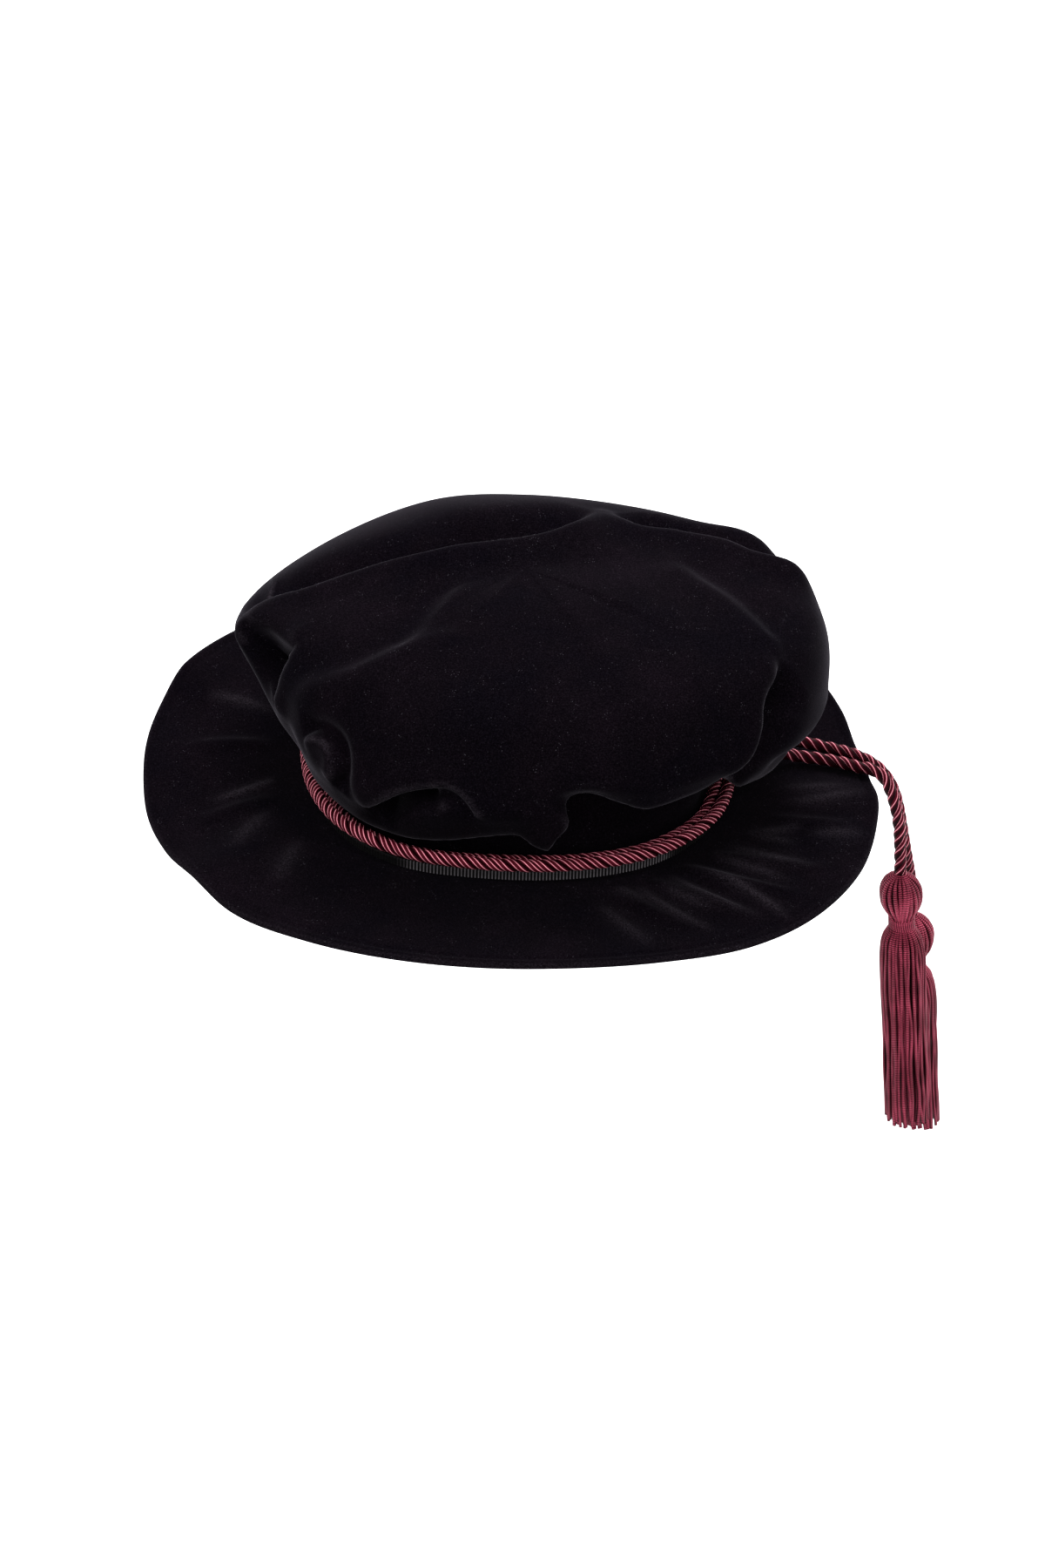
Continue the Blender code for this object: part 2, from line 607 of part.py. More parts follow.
# Routes of the two free ends, from the wound cord over the brim's edge to the tassels
BACK_CORD_ROUTE = [
    # x, y, z
    (93.2, 38.0, 13.0),
    (98.6, 33.2, 12.6),
    (105.4, 30.2, 10.6),
    (113.8, 28.2, 8.2),
    (123.7, 26.8, 6.4),
    (129.5, 26.4, 5.6),
    (137.6, 25.0, 4.6),
    (145.5, 22.6, 3.8),
    (152.6, 20.6, 2.2),
    (158.2, 19.2, -0.8),
    (162.4, 18.6, -5.2),
    (165.8, 18.4, -11.0),
    (168.1, 18.5, -18.0),
    (170.3, 19.2, -28.0),
    (172.5, 20.8, -39.0),
    (174.7, 23.0, -50.0),
    (176.6, 25.4, -60.0),
    (178.1, 27.6, -71.0),
    (179.0, 28.6, -81.5),
]
FRONT_CORD_ROUTE = [
    (89.0, -8.8, 17.4),
    (92.8, -4.3, 18.9),
    (97.3, 0.2, 19.0),
    (102.2, 4.6, 17.2),
    (107.0, 8.8, 14.4),
    (112.0, 12.2, 10.2),
    (117.8, 14.6, 7.0),
    (124.4, 16.0, 5.0),
    (133.1, 16.0, 4.2),
    (142.7, 14.7, 3.2),
    (149.0, 13.4, 2.2),
    (155.2, 11.7, 2.0),
    (160.6, 10.8, -1.2),
    (164.2, 10.0, -7.4),
    (166.6, 9.4, -14.4),
    (168.2, 9.0, -21.0),
    (169.4, 8.6, -29.0),
    (170.2, 8.2, -38.0),
    (170.9, 8.0, -48.2),
]
KNOT_DROP = 0.9
TASSEL_LEAN = (0.085, 0.0)
FRONT_SKIRT_LENGTH = 103.0
BACK_SKIRT_LENGTH = 84.0


def make_tassel(name, top, skirt_length, lean, look):
    """A tassel: a round knob, a bound neck and a skirt in locks, as one closed form."""
    sides = SKIRT_LOCKS * 2
    neck_top = KNOB_HEIGHT
    neck_low = neck_top + 5.5
    rings = [
        # depth below the top, radius, how deep the locks are cut
        (0.0, 3.2, 0.0),
        (2.0, KNOB_RADIUS * 0.62, 0.02),
        (6.0, KNOB_RADIUS * 0.93, 0.03),
        (11.0, KNOB_RADIUS, 0.03),
        (16.0, KNOB_RADIUS * 0.9, 0.03),
        (neck_top, NECK_RADIUS, 0.0),
        (neck_low, NECK_RADIUS, 0.0),
        (neck_low + 4.0, SKIRT_RADIUS * 0.86, 0.06),
        (neck_low + 12.0, SKIRT_RADIUS, 0.08),
        (neck_low + skirt_length * 0.5, SKIRT_RADIUS * 0.97, 0.10),
        (neck_low + skirt_length * 0.86, SKIRT_RADIUS * 0.98, 0.12),
        (neck_low + skirt_length, SKIRT_RADIUS * 0.9, 0.14),
    ]
    points = []
    for depth, radius, cut in rings:
        for k in range(sides):
            a = 2 * math.pi * k / sides
            r = radius * (1 - cut * (k % 2))
            points.append((top[0] + lean[0] * depth + r * math.cos(a),
                           top[1] + lean[1] * depth + r * math.sin(a), top[2] - depth))
    faces = []
    for ring in range(len(rings) - 1):
        for k in range(sides):
            m = (k + 1) % sides
            faces.append((ring * sides + k, ring * sides + m, (ring + 1) * sides + m, (ring + 1) * sides + k))
    faces.append(tuple(range(sides)))
    faces.append(tuple(reversed(range((len(rings) - 1) * sides, len(rings) * sides))))
    return mesh_piece(name, points, faces, look, crease=40)


def build():
    for old in list(bpy.data.objects):
        bpy.data.objects.remove(old, do_unlink=True)
    velvet = material("velvet", (0.012, 0.009, 0.012), 0.85, sheen=0.5)
    ribbon = material("ribbed ribbon", (0.03, 0.03, 0.032), 0.5)
    rayon = material("twisted rayon", (0.22, 0.02, 0.05), 0.35)
    chainette = material("tassel rayon", (0.24, 0.025, 0.06), 0.45)

    make_brim(velvet)
    make_crown(velvet)
    make_ribbon(ribbon)
    make_wrap(rayon)
    back_start = [wrap_point(WRAP_START - step) for step in (0.8, 4.0)]
    front_start = [wrap_point(WRAP_END + 360 + step) for step in (1.0, 3.0)]
    tube("tassel_cord_back", back_start + on_brim(BACK_CORD_ROUTE), CORD_DIAMETER, rayon)
    tube("tassel_cord_front", front_start + on_brim(FRONT_CORD_ROUTE), CORD_DIAMETER, rayon)
    front_end = FRONT_CORD_ROUTE[-1]
    back_end = BACK_CORD_ROUTE[-1]
    make_tassel("tassel_front", (front_end[0], front_end[1], front_end[2] - KNOT_DROP),
                FRONT_SKIRT_LENGTH, TASSEL_LEAN, chainette)
    make_tassel("tassel_back", (back_end[0], back_end[1], back_end[2] - KNOT_DROP),
                BACK_SKIRT_LENGTH, TASSEL_LEAN, chainette)


build()
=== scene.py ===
"""Tudor bonnet, dressed for the photograph: a full soft velvet crown on a round velvet brim, a ribbed
ribbon and a twisted cord round the foot of the crown, and the cord's two ends in tassels.

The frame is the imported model's: +Z up, +X towards the tassels, -Y towards the front. Sizes in the
tables are in millimetres and are brought to metres where a mesh is made. Angles run anticlockwise
seen from above, from 0 at +X.
"""
import math

import bpy
import numpy as np
from mathutils import Matrix, Vector


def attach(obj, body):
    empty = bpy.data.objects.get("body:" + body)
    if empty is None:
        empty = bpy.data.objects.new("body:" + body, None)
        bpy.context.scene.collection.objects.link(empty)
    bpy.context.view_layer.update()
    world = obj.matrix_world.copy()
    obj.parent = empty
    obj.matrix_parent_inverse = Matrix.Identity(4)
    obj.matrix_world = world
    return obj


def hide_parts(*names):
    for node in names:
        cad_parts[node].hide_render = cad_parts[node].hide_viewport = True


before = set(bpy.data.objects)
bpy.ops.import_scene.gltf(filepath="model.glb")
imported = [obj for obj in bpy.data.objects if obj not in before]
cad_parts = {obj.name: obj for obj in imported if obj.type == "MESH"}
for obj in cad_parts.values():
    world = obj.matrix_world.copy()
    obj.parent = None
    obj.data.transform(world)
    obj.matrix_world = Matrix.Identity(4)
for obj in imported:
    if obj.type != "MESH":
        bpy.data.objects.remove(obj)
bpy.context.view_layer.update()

# Camera. The photograph looks down on the front of the hat, 30 degrees above the level of the brim
# and from about 2.4 m away, and is turned a little on its side.
LOOK_DOWN = math.radians(30)
LOOK_TURN = math.radians(1.78)
LOOK_AT = Vector((0.0019, 0.0, -0.0041))
LOOK_FROM = 2.4


def placed(name, data):
    """A new object in the scene."""
    made = bpy.data.objects.new(name, data)
    bpy.context.scene.collection.objects.link(made)
    return made


camera_lens = bpy.data.cameras.new("camera")
camera_lens.lens = 125.6
camera_lens.sensor_width = 36
camera_lens.clip_end = 20
camera = placed("camera", camera_lens)
back = Vector((0.0, -math.cos(LOOK_DOWN), math.sin(LOOK_DOWN)))
level = Vector((1.0, 0.0, 0.0))
upward = back.cross(level)
turned_right = level * math.cos(LOOK_TURN) + upward * math.sin(LOOK_TURN)
turned_up = upward * math.cos(LOOK_TURN) - level * math.sin(LOOK_TURN)
stand = Matrix((turned_right, turned_up, back)).transposed().to_4x4()
stand.translation = LOOK_AT + back * LOOK_FROM
camera.matrix_world = stand
bpy.context.scene.camera = camera


# Free ends of the cord. The cord is three plies of lustrous crimson rayon laid up right-handed. Both
# its ends leave the winding under the crown's side, cross the brim close together, bend over its
# edge and hang into the knobs of the tassels.
MM = 0.001
CORD_DIAMETER = 5.6
CORD_LAY = 17.0
CORD_LIFT = 0.6
PLY_RADIUS = CORD_DIAMETER * 0.295
PLY_FLAT = 0.79
PLY_SIDES = 16
# Where round each ply of the free ends its painted highlight lines are centred, in radians from its
# outermost line.
FREE_CORD_HIGHLIGHT_TURN = 0.95
BRIM_THICKNESS = 3.0
BRIM_FLAT_RADIUS = 101.0
CORD_OUTSIDE_FOOT = 3.9
FOOT_RING = [
    # angle, radius
    (0, 89.6),
    (30, 91.4),
    (60, 93.6),
    (90, 94.2),
    (120, 93.6),
    (150, 91.4),
    (172, 89.4),
    (187, 89.2),
    (200, 91.3),
    (211, 93.9),
    (220, 96.1),
    (229, 97.5),
    (238, 97.6),
    (246, 96.6),
    (256, 94.2),
    (270, 92.9),
    (284, 93.7),
    (296, 95.3),
    (306, 96.2),
    (318, 95.5),
    (328, 94.3),
    (338, 92.0),
    (347, 90.0),
]
BRIM_EDGE = [
    # angle, radius, rise
    (5, 155.6, -5.0),
    (14, 155.4, -5.0),
    (24, 158.0, 0.0),
    (35, 160.5, 4.0),
    (60, 161.5, 6.0),
    (90, 162.0, 7.0),
    (125, 162.0, 10.0),
    (146, 162.0, 14.5),
    (158, 162.5, 16.0),
    (167, 163.5, 9.5),
    (180, 164.5, 2.5),
    (190, 164.5, -6.0),
    (202, 162.5, -9.5),
    (212, 161.5, -7.0),
    (222, 162.0, -9.0),
    (238, 162.0, -5.0),
    (256, 162.0, -1.3),
    (275, 162.0, 0.3),
    (292, 162.0, -2.0),
    (308, 162.0, -7.0),
    (325, 161.5, -9.0),
    (338, 160.5, -9.0),
    (350, 159.0, -6.5),
    (358, 158.2, -4.2),
]
BRIM_TUCKS = [
    # angle at the crown, angle at the edge, start and end radius, height, half width
    (322, 334, 106, 150, 1.6, 4.0),
    (312, 325, 104, 152, 1.8, 4.0),
    (303, 314, 106, 152, 1.8, 4.5),
    (293, 301, 110, 146, 1.5, 4.5),
    (343, 349, 112, 152, 1.3, 4.0),
    (196, 198, 108, 146, 1.8, 5.0),
    (172, 178, 108, 150, 1.8, 5.0),
]
WRAP_TURNS = [
    # angle, outer turn's height, how far inside it the inner turn lies, inner turn's height
    (0, 12.0, 5.9, 13.0),
    (40, 12.0, 6.0, 12.0),
    (60, 12.0, 5.7, 12.0),
    (140, 12.0, 5.7, 12.0),
    (190, 13.0, 5.6, 10.2),
    (232, 13.2, 5.6, 10.0),
    (252, 12.4, 5.6, 10.1),
    (270, 12.0, 5.7, 10.7),
    (300, 12.0, 5.6, 10.4),
    (330, 12.0, 5.5, 10.0),
    (342, 12.0, 5.6, 12.5),
    (352, 12.0, 5.6, 14.5),
]
WRAP_START = 34.0
WRAP_END = 349.0
CHANGE_FROM = 352.0
CHANGE_TO = 382.0
BACK_CORD_ROUTE = [
    # x, y, z
    (93.2, 38.0, 13.0),
    (98.6, 33.2, 12.6),
    (105.4, 30.2, 10.6),
    (113.8, 28.2, 8.2),
    (123.7, 26.8, 6.4),
    (129.5, 26.4, 5.6),
    (137.6, 25.0, 4.6),
    (145.5, 22.6, 3.8),
    (152.6, 20.6, 2.2),
    (158.2, 19.2, -0.8),
    (162.4, 18.6, -5.2),
    (165.8, 18.4, -11.0),
    (168.1, 18.5, -18.0),
    (170.3, 19.2, -28.0),
    (172.5, 20.8, -39.0),
    (174.7, 23.0, -50.0),
    (176.6, 25.4, -60.0),
    (178.1, 27.6, -71.0),
    (179.0, 28.6, -81.5),
]
FRONT_CORD_ROUTE = [
    # x, y, z
    (89.0, -8.8, 17.4),
    (92.8, -4.3, 18.9),
    (97.3, 0.2, 19.0),
    (102.2, 4.6, 17.2),
    (107.0, 8.8, 14.4),
    (112.0, 12.2, 10.2),
    (117.8, 14.6, 7.0),
    (124.4, 16.0, 5.0),
    (133.1, 16.0, 4.2),
    (142.7, 14.7, 3.2),
    (149.0, 13.4, 2.2),
    (155.2, 11.7, 2.0),
    (160.6, 10.8, -1.2),
    (164.2, 10.0, -7.4),
    (166.6, 9.4, -14.4),
    (168.2, 9.0, -21.0),
    (169.4, 8.6, -29.0),
    (170.2, 8.2, -38.0),
    (170.9, 8.0, -48.2),
]
TASSEL_LEAN = (0.085, 0.0)
CORD_INTO_KNOB = 23.0


def read_round(table, column, degrees):
    """Reads a column of a table smoothly round the full circle, at any angles."""
    angles = np.array([row[0] for row in table], float)
    values = np.array([row[column] for row in table], float)
    angles = np.concatenate([angles[-2:] - 360, angles, angles[:2] + 360])
    values = np.concatenate([values[-2:], values, values[:2]])
    slopes = np.gradient(values, angles)
    rises = np.diff(values) / np.diff(angles)
    for i in range(1, len(values) - 1):
        if rises[i - 1] * rises[i] <= 0:
            slopes[i] = 0.0
        else:
            limit = 2.5 * min(abs(rises[i - 1]), abs(rises[i]))
            slopes[i] = math.copysign(min(abs(slopes[i]), limit), slopes[i])
    at = np.mod(np.asarray(degrees, float), 360)
    i = np.clip(np.searchsorted(angles, at, side="right") - 1, 1, len(angles) - 3)
    span = angles[i + 1] - angles[i]
    t = (at - angles[i]) / span
    start = values[i] * (2 * t**3 - 3 * t**2 + 1) + slopes[i] * span * (t**3 - 2 * t**2 + t)
    end = values[i + 1] * (3 * t**2 - 2 * t**3) + slopes[i + 1] * span * (t**3 - t**2)
    return start + end


def smooth_step(x):
    """Goes from 0 to 1 with flat ends."""
    x = np.clip(x, 0.0, 1.0)
    return x * x * (3 - 2 * x)


def spline(points, samples):
    """Points at even parameter steps on a centripetal spline through all the given points."""
    p = np.asarray(points, float)
    p = np.concatenate([[2 * p[0] - p[1]], p, [2 * p[-1] - p[-2]]])
    steps = np.sqrt(np.linalg.norm(np.diff(p, axis=0), axis=1))
    knots = np.concatenate([[0], np.cumsum(steps)])
    at = np.linspace(knots[1], knots[-2], samples)
    i = np.clip(np.searchsorted(knots, at, side="right") - 1, 1, len(p) - 3)
    t0, t1, t2, t3 = (knots[i + k][:, None] for k in (-1, 0, 1, 2))
    p0, p1, p2, p3 = (p[i + k] for k in (-1, 0, 1, 2))
    t = at[:, None]
    a1 = (t1 - t) / (t1 - t0) * p0 + (t - t0) / (t1 - t0) * p1
    a2 = (t2 - t) / (t2 - t1) * p1 + (t - t1) / (t2 - t1) * p2
    a3 = (t3 - t) / (t3 - t2) * p2 + (t - t2) / (t3 - t2) * p3
    b1 = (t2 - t) / (t2 - t0) * a1 + (t - t0) / (t2 - t0) * a2
    b2 = (t3 - t) / (t3 - t1) * a2 + (t - t1) / (t3 - t1) * a3
    return (t2 - t) / (t2 - t1) * b1 + (t - t1) / (t2 - t1) * b2


def length_of(line):
    """How long a line of points is."""
    return float(np.linalg.norm(np.diff(line, axis=0), axis=1).sum())


def evenly(points, count):
    """The same line with its points at even distances."""
    p = np.asarray(points, float)
    run = np.concatenate([[0], np.cumsum(np.linalg.norm(np.diff(p, axis=0), axis=1))])
    at = np.linspace(0, run[-1], count)
    return np.stack([np.interp(at, run, p[:, k]) for k in range(p.shape[1])], axis=1)


def unit(vectors):
    """The same directions, each of length 1."""
    return vectors / np.maximum(np.linalg.norm(vectors, axis=-1, keepdims=True), 1e-9)


def squared(directions, line):
    """What is left of directions at a line's points once they are made square to the line."""
    forward = unit(np.gradient(line, axis=0))
    return unit(directions - forward * (directions * forward).sum(axis=1, keepdims=True))


def carried_side(forward, start):
    """A direction square to a line at each of its points, carried along it without a twist."""
    side = np.zeros_like(forward)
    side[0] = unit(np.cross(forward[0], start))
    for i in range(1, len(forward)):
        side[i] = unit(side[i - 1] - forward[i] * (side[i - 1] @ forward[i]))
    return side


def polar(angle, radius, height):
    """A point in millimetres from its angle in degrees, radius and height."""
    a = math.radians(angle)
    return (radius * math.cos(a), radius * math.sin(a), height)


def brim_height(degrees, radius):
    """Height of the brim's underside, in millimetres."""
    edge = read_round(BRIM_EDGE, 1, degrees)
    out = np.clip((radius - BRIM_FLAT_RADIUS) / (edge - BRIM_FLAT_RADIUS), 0, 1.1)
    height = read_round(BRIM_EDGE, 2, degrees) * out**1.3
    for inner, outer, start, end, rise, width in BRIM_TUCKS:
        along = np.clip((radius - start) / (end - start), 0, 1)
        middle = inner + (outer - inner) * along
        off = (np.mod(degrees - middle + 180, 360) - 180) * math.pi / 180 * radius
        fade = np.sin(np.pi * along) ** 0.8
        height = height + rise * fade * np.exp(-(off / width) ** 2)
    return height


def foot_radius(degrees):
    """Radius of the crown's foot where it stands on the brim, in millimetres."""
    return read_round(FOOT_RING, 1, degrees)


def winding(degrees):
    """Radius and height of the wound cord's outer turn, and then of its inner turn."""
    outer_z, apart, inner_z = (read_round(WRAP_TURNS, column, degrees) for column in (1, 2, 3))
    outer_r = foot_radius(degrees) + CORD_OUTSIDE_FOOT
    return (outer_r, outer_z), (outer_r - apart, inner_z)


def wrap_point(degrees):
    """A point of the wound cord's middle line, at any angle along its two turns."""
    change = float(smooth_step((degrees - CHANGE_FROM) / (CHANGE_TO - CHANGE_FROM)))
    outer, inner = winding(degrees)
    return polar(degrees, float(outer[0] + (inner[0] - outer[0]) * change),
                 float(outer[1] + (inner[1] - outer[1]) * change))


def free_route(start, route):
    """A free end's whole middle line, lying on the brim and running on into its tassel's knob."""
    points = list(start)
    for x, y, z in route:
        degrees, radius = math.degrees(math.atan2(y, x)) % 360, math.hypot(x, y)
        if radius < read_round(BRIM_EDGE, 1, degrees):
            z = max(z, float(brim_height(degrees, radius)) + BRIM_THICKNESS + CORD_DIAMETER / 2 + CORD_LIFT)
        points.append((x, y, z))
    x, y, z = route[-1]
    for part in (0.5, 1.0):
        drop = CORD_INTO_KNOB * part
        points.append((x + TASSEL_LEAN[0] * drop, y, z - drop))
    line = spline(points, 40 * len(points))
    return evenly(line, int(length_of(line)) + 1)


def grid_faces(rings, sides, rings_close, sides_close):
    """Faces of a grid of points kept ring after ring, closed in either direction where asked."""
    i, k = np.meshgrid(np.arange(rings - (not rings_close)), np.arange(sides - (not sides_close)),
                       indexing="ij")
    i, k = i.ravel(), k.ravel()
    j, m = (i + 1) % rings, (k + 1) % sides
    return np.stack([i * sides + k, j * sides + k, j * sides + m, i * sides + m], axis=1)


class Threads:
    """Gathers round threads into the mesh of one piece."""

    def __init__(self):
        self.points = []
        self.outside = []
        self.faces = []
        self.marks = []
        self.used = 0

    def add(self, line, radii, sides, first_side=None, flat=1.0, shade=0.5, turned=0.0):
        """Adds one thread along a line, closed at both ends.

        Flat squeezes it along its first side. Shade sets its tone apart from its neighbours', and the
        mark called outside is highest at the angle turned, in radians round from its first side.
        """
        count = len(line)
        forward = unit(np.gradient(line, axis=0))
        if first_side is None:
            first_side = carried_side(forward, (0.31, 0.77, 0.55))
        other_side = unit(np.cross(forward, first_side))
        radii = np.broadcast_to(np.asarray(radii, float), (count,))
        turn = 2 * math.pi * np.arange(sides) / sides
        ring = (np.cos(turn)[None, :, None] * first_side[:, None, :] * flat
                + np.sin(turn)[None, :, None] * other_side[:, None, :])
        self.points.append((line[:, None, :] + ring * radii[:, None, None]).reshape(-1, 3))
        self.outside.append(np.tile(0.5 + 0.5 * np.cos(turn - turned), count))
        run = np.concatenate([[0], np.cumsum(np.linalg.norm(np.diff(line, axis=0), axis=1))])
        quads = grid_faces(count, sides, False, True)
        i, k = np.divmod(quads[:, 0], sides)
        self.faces += (quads[:, ::-1] + self.used).tolist()
        marks = np.stack([np.stack([run[i + a], (k + b) / sides + shade * 7.0], axis=1)
                          for a, b in ((0, 1), (1, 1), (1, 0), (0, 0))], axis=1)
        self.marks.append(marks.reshape(-1, 2))
        self.faces.append([self.used + k for k in range(sides)])
        self.faces.append([self.used + (count - 1) * sides + k for k in reversed(range(sides))])
        self.marks.append(np.tile([[0.0, shade * 7.0]], (2 * sides, 1)))
        self.used += count * sides

    def piece(self, name, look):
        """Makes the piece, with each thread's length and turn kept as its marks."""
        mesh = bpy.data.meshes.new(name)
        mesh.from_pydata((np.concatenate(self.points) * MM).tolist(), [], self.faces)
        marks = mesh.uv_layers.new(name="thread")
        marks.data.foreach_set("uv", (np.concatenate(self.marks) * (0.1, 1.0)).ravel())
        outside = mesh.attributes.new("outside", "FLOAT", "POINT")
        outside.data.foreach_set("value", np.concatenate(self.outside))
        mesh.shade_smooth()
        mesh.materials.append(look)
        return placed(name, mesh)


def laid_cord(name, line, look, turned):
    """A cord of three plies laid up round its middle line, with a slightly uneven lay.

    Turned is how far round from the outermost line of each ply its painted highlight lines are centred, in
    radians.
    """
    count = int(length_of(line)) + 1
    line = evenly(line, count)
    forward = unit(np.gradient(line, axis=0))
    side = carried_side(forward, (0, 0, 1))
    other = unit(np.cross(forward, side))
    run = np.linspace(0, length_of(line), count)
    ply_circle = CORD_DIAMETER / 2 - PLY_RADIUS * PLY_FLAT
    threads = Threads()
    for ply in range(3):
        turn = 2 * math.pi * (run / CORD_LAY + ply / 3) + 0.22 * np.sin(run / 23.0 + ply)
        out = np.cos(turn)[:, None] * side + np.sin(turn)[:, None] * other
        middle = line + out * ply_circle
        uneven = 1 + 0.03 * np.sin(run / 5.3 + 2 * ply)
        threads.add(middle, PLY_RADIUS * uneven, PLY_SIDES, squared(out, middle), PLY_FLAT, ply / 3, turned)
    return threads.piece(name, look)


def plain_look(name, colour, roughness):
    """A material's shader, with its own colour and roughness set."""
    look = bpy.data.materials.new(name)
    look.use_nodes = True
    shader = look.node_tree.nodes["Principled BSDF"]
    shader.inputs["Base Color"].default_value = (*colour, 1.0)
    shader.inputs["Roughness"].default_value = roughness
    return look, shader


def node(look, kind, **values):
    """Adds a node to a material and sets its inputs by name."""
    made = look.node_tree.nodes.new(kind)
    for key, value in values.items():
        made.inputs[key.replace("_", " ")].default_value = value
    return made


def colour_steps(look, factor, steps):
    """A colour ramp fed by a factor."""
    ramp = look.node_tree.nodes.new("ShaderNodeValToRGB")
    look.node_tree.links.new(factor, ramp.inputs["Fac"])
    for step, (place, colour) in enumerate(steps):
        stop = ramp.color_ramp.elements[step] if step < 2 else ramp.color_ramp.elements.new(place)
        stop.position = place
        stop.color = (*colour, 1.0)
    return ramp.outputs["Color"]


def blended(look, kind, factor, under, over):
    """One colour laid over another; factor is a number or a node's output."""
    made = look.node_tree.nodes.new("ShaderNodeMix")
    made.data_type = "RGBA"
    made.blend_type = kind
    if isinstance(factor, float):
        made.inputs["Factor"].default_value = factor
    else:
        look.node_tree.links.new(factor, made.inputs["Factor"])
    for socket, colour in (("A", under), ("B", over)):
        if isinstance(colour, tuple):
            made.inputs[socket].default_value = (*colour, 1.0)
        else:
            look.node_tree.links.new(colour, made.inputs[socket])
    return made.outputs["Result"]


def measured(look, name):
    """A value kept at a mesh's points."""
    made = look.node_tree.nodes.new("ShaderNodeAttribute")
    made.attribute_name = name
    return made.outputs["Fac"]


def fed(look, output, socket):
    """Joins a node's output to a socket of the same material."""
    look.node_tree.links.new(output, socket)


def bump(look, shader, height, strength, distance):
    """Raises the surface by a height pattern."""
    made = node(look, "ShaderNodeBump", Strength=strength, Distance=distance)
    fed(look, height, made.inputs["Height"])
    fed(look, made.outputs["Normal"], shader.inputs["Normal"])


def along_thread(look, stretch):
    """Places on a piece's threads: length along each in centimetres, and the turn round it."""
    marks = look.node_tree.nodes.new("ShaderNodeUVMap")
    marks.uv_map = "thread"
    stretched = node(look, "ShaderNodeMapping", Scale=stretch)
    fed(look, marks.outputs["UV"], stretched.inputs["Vector"])
    return stretched.outputs["Vector"]


rayon_look, rayon = plain_look("twisted_rayon", (0.13, 0.014, 0.026), 0.4)
rayon.inputs["Specular IOR Level"].default_value = 0.03
rayon.inputs["Specular Tint"].default_value = (1.0, 0.7, 0.78, 1.0)
filaments = node(rayon_look, "ShaderNodeTexNoise", Scale=1.0, Detail=3.0, Roughness=0.6)
fed(rayon_look, along_thread(rayon_look, (1.2, 30.0, 1.0)), filaments.inputs["Vector"])
rayon_shade = colour_steps(rayon_look, filaments.outputs["Fac"], [
    (0.3, (0.6, 0.55, 0.57)), (0.72, (1.35, 1.35, 1.35))])
# The plies' colour is painted light: near-black painted shade in the grooves between the plies and a pair
# of thin painted highlight lines along each ply.
ply_painted_light = colour_steps(rayon_look, measured(rayon_look, "outside"), [
    (0.5, (0.006, 0.0003, 0.001)), (1.0, (0.06, 0.0035, 0.009)), (0.7, (0.02, 0.001, 0.003)),
    (0.87, (0.06, 0.0035, 0.009)), (0.892, (0.9, 0.31, 0.38)), (0.932, (0.9, 0.31, 0.38)),
    (0.95, (0.06, 0.0035, 0.009))])
fed(rayon_look, blended(rayon_look, "MULTIPLY", 1.0, rayon_shade, ply_painted_light), rayon.inputs["Base Color"])
bump(rayon_look, rayon, filaments.outputs["Fac"], 0.35, 0.0003)

back_line = free_route([wrap_point(WRAP_START - step) for step in (0.8, 4.0)], BACK_CORD_ROUTE)
front_line = free_route([wrap_point(WRAP_END + 360 + step) for step in (1.0, 3.0)], FRONT_CORD_ROUTE)
back_cord = laid_cord("back_free_cord", back_line, rayon_look, FREE_CORD_HIGHLIGHT_TURN)
front_cord = laid_cord("front_free_cord", front_line, rayon_look, FREE_CORD_HIGHLIGHT_TURN)
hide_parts("tassel_cord_back")
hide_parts("tassel_cord_front")
for cord in (back_cord, front_cord):
    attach(cord, "root")


# Wound cord. The same crimson cord goes nearly twice round the foot of the crown, the outer turn over
# the ribbon and the inner one close behind it, and is caught down with hidden stitches.
# Where round each ply of the wound cord its painted highlight lines are centred, in radians from its
# outermost line.
WOUND_CORD_HIGHLIGHT_TURN = 0.0
wrap_line = spline([wrap_point(d) for d in np.linspace(WRAP_START, 360 + WRAP_END, 160)], 3200)
wound_cord = laid_cord("wound_cord", wrap_line, rayon_look, WOUND_CORD_HIGHLIGHT_TURN)
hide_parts("wrap_cord")
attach(wound_cord, "root")


# Tassels. Each is made of chainette, a fine knitted rayon thread: threads drawn from the cord over a
# round knob, a band of thread wound tight under it, and a full skirt of hanging threads.
KNOT_DROP = 0.9
KNOB_HEIGHT = 21.0
NECK_RADIUS = 5.8
FRONT_SKIRT_LENGTH = 103.0
BACK_SKIRT_LENGTH = 84.0
CHAINETTE = 1.8
KNOB_THREADS = 26
NECK_TURNS = 7.5
SKIRT_BELOW_KNOB = 5.0
SKIRT_ROWS = [
    # threads in the row, share of the skirt's width, shift against the row outside it
    (30, 1.0, 0.0),
    (22, 0.78, 0.5),
    (16, 0.5, 0.2),
]

chainette_look, chainette = plain_look("tassel_rayon", (0.2, 0.02, 0.045), 0.45)
chainette.inputs["Specular IOR Level"].default_value = 0.12
chainette.inputs["Specular Tint"].default_value = (1.0, 0.7, 0.78, 1.0)
loops = node(chainette_look, "ShaderNodeTexWave", Scale=3.4, Distortion=1.2, Detail=1.0)
loops.bands_direction = "X"
fed(chainette_look, along_thread(chainette_look, (1.0, 1.0, 1.0)), loops.inputs["Vector"])
chainette_tone = node(chainette_look, "ShaderNodeTexNoise", Scale=1.0, Detail=4.0, Roughness=0.65)
fed(chainette_look, along_thread(chainette_look, (0.9, 1.7, 1.0)), chainette_tone.inputs["Vector"])
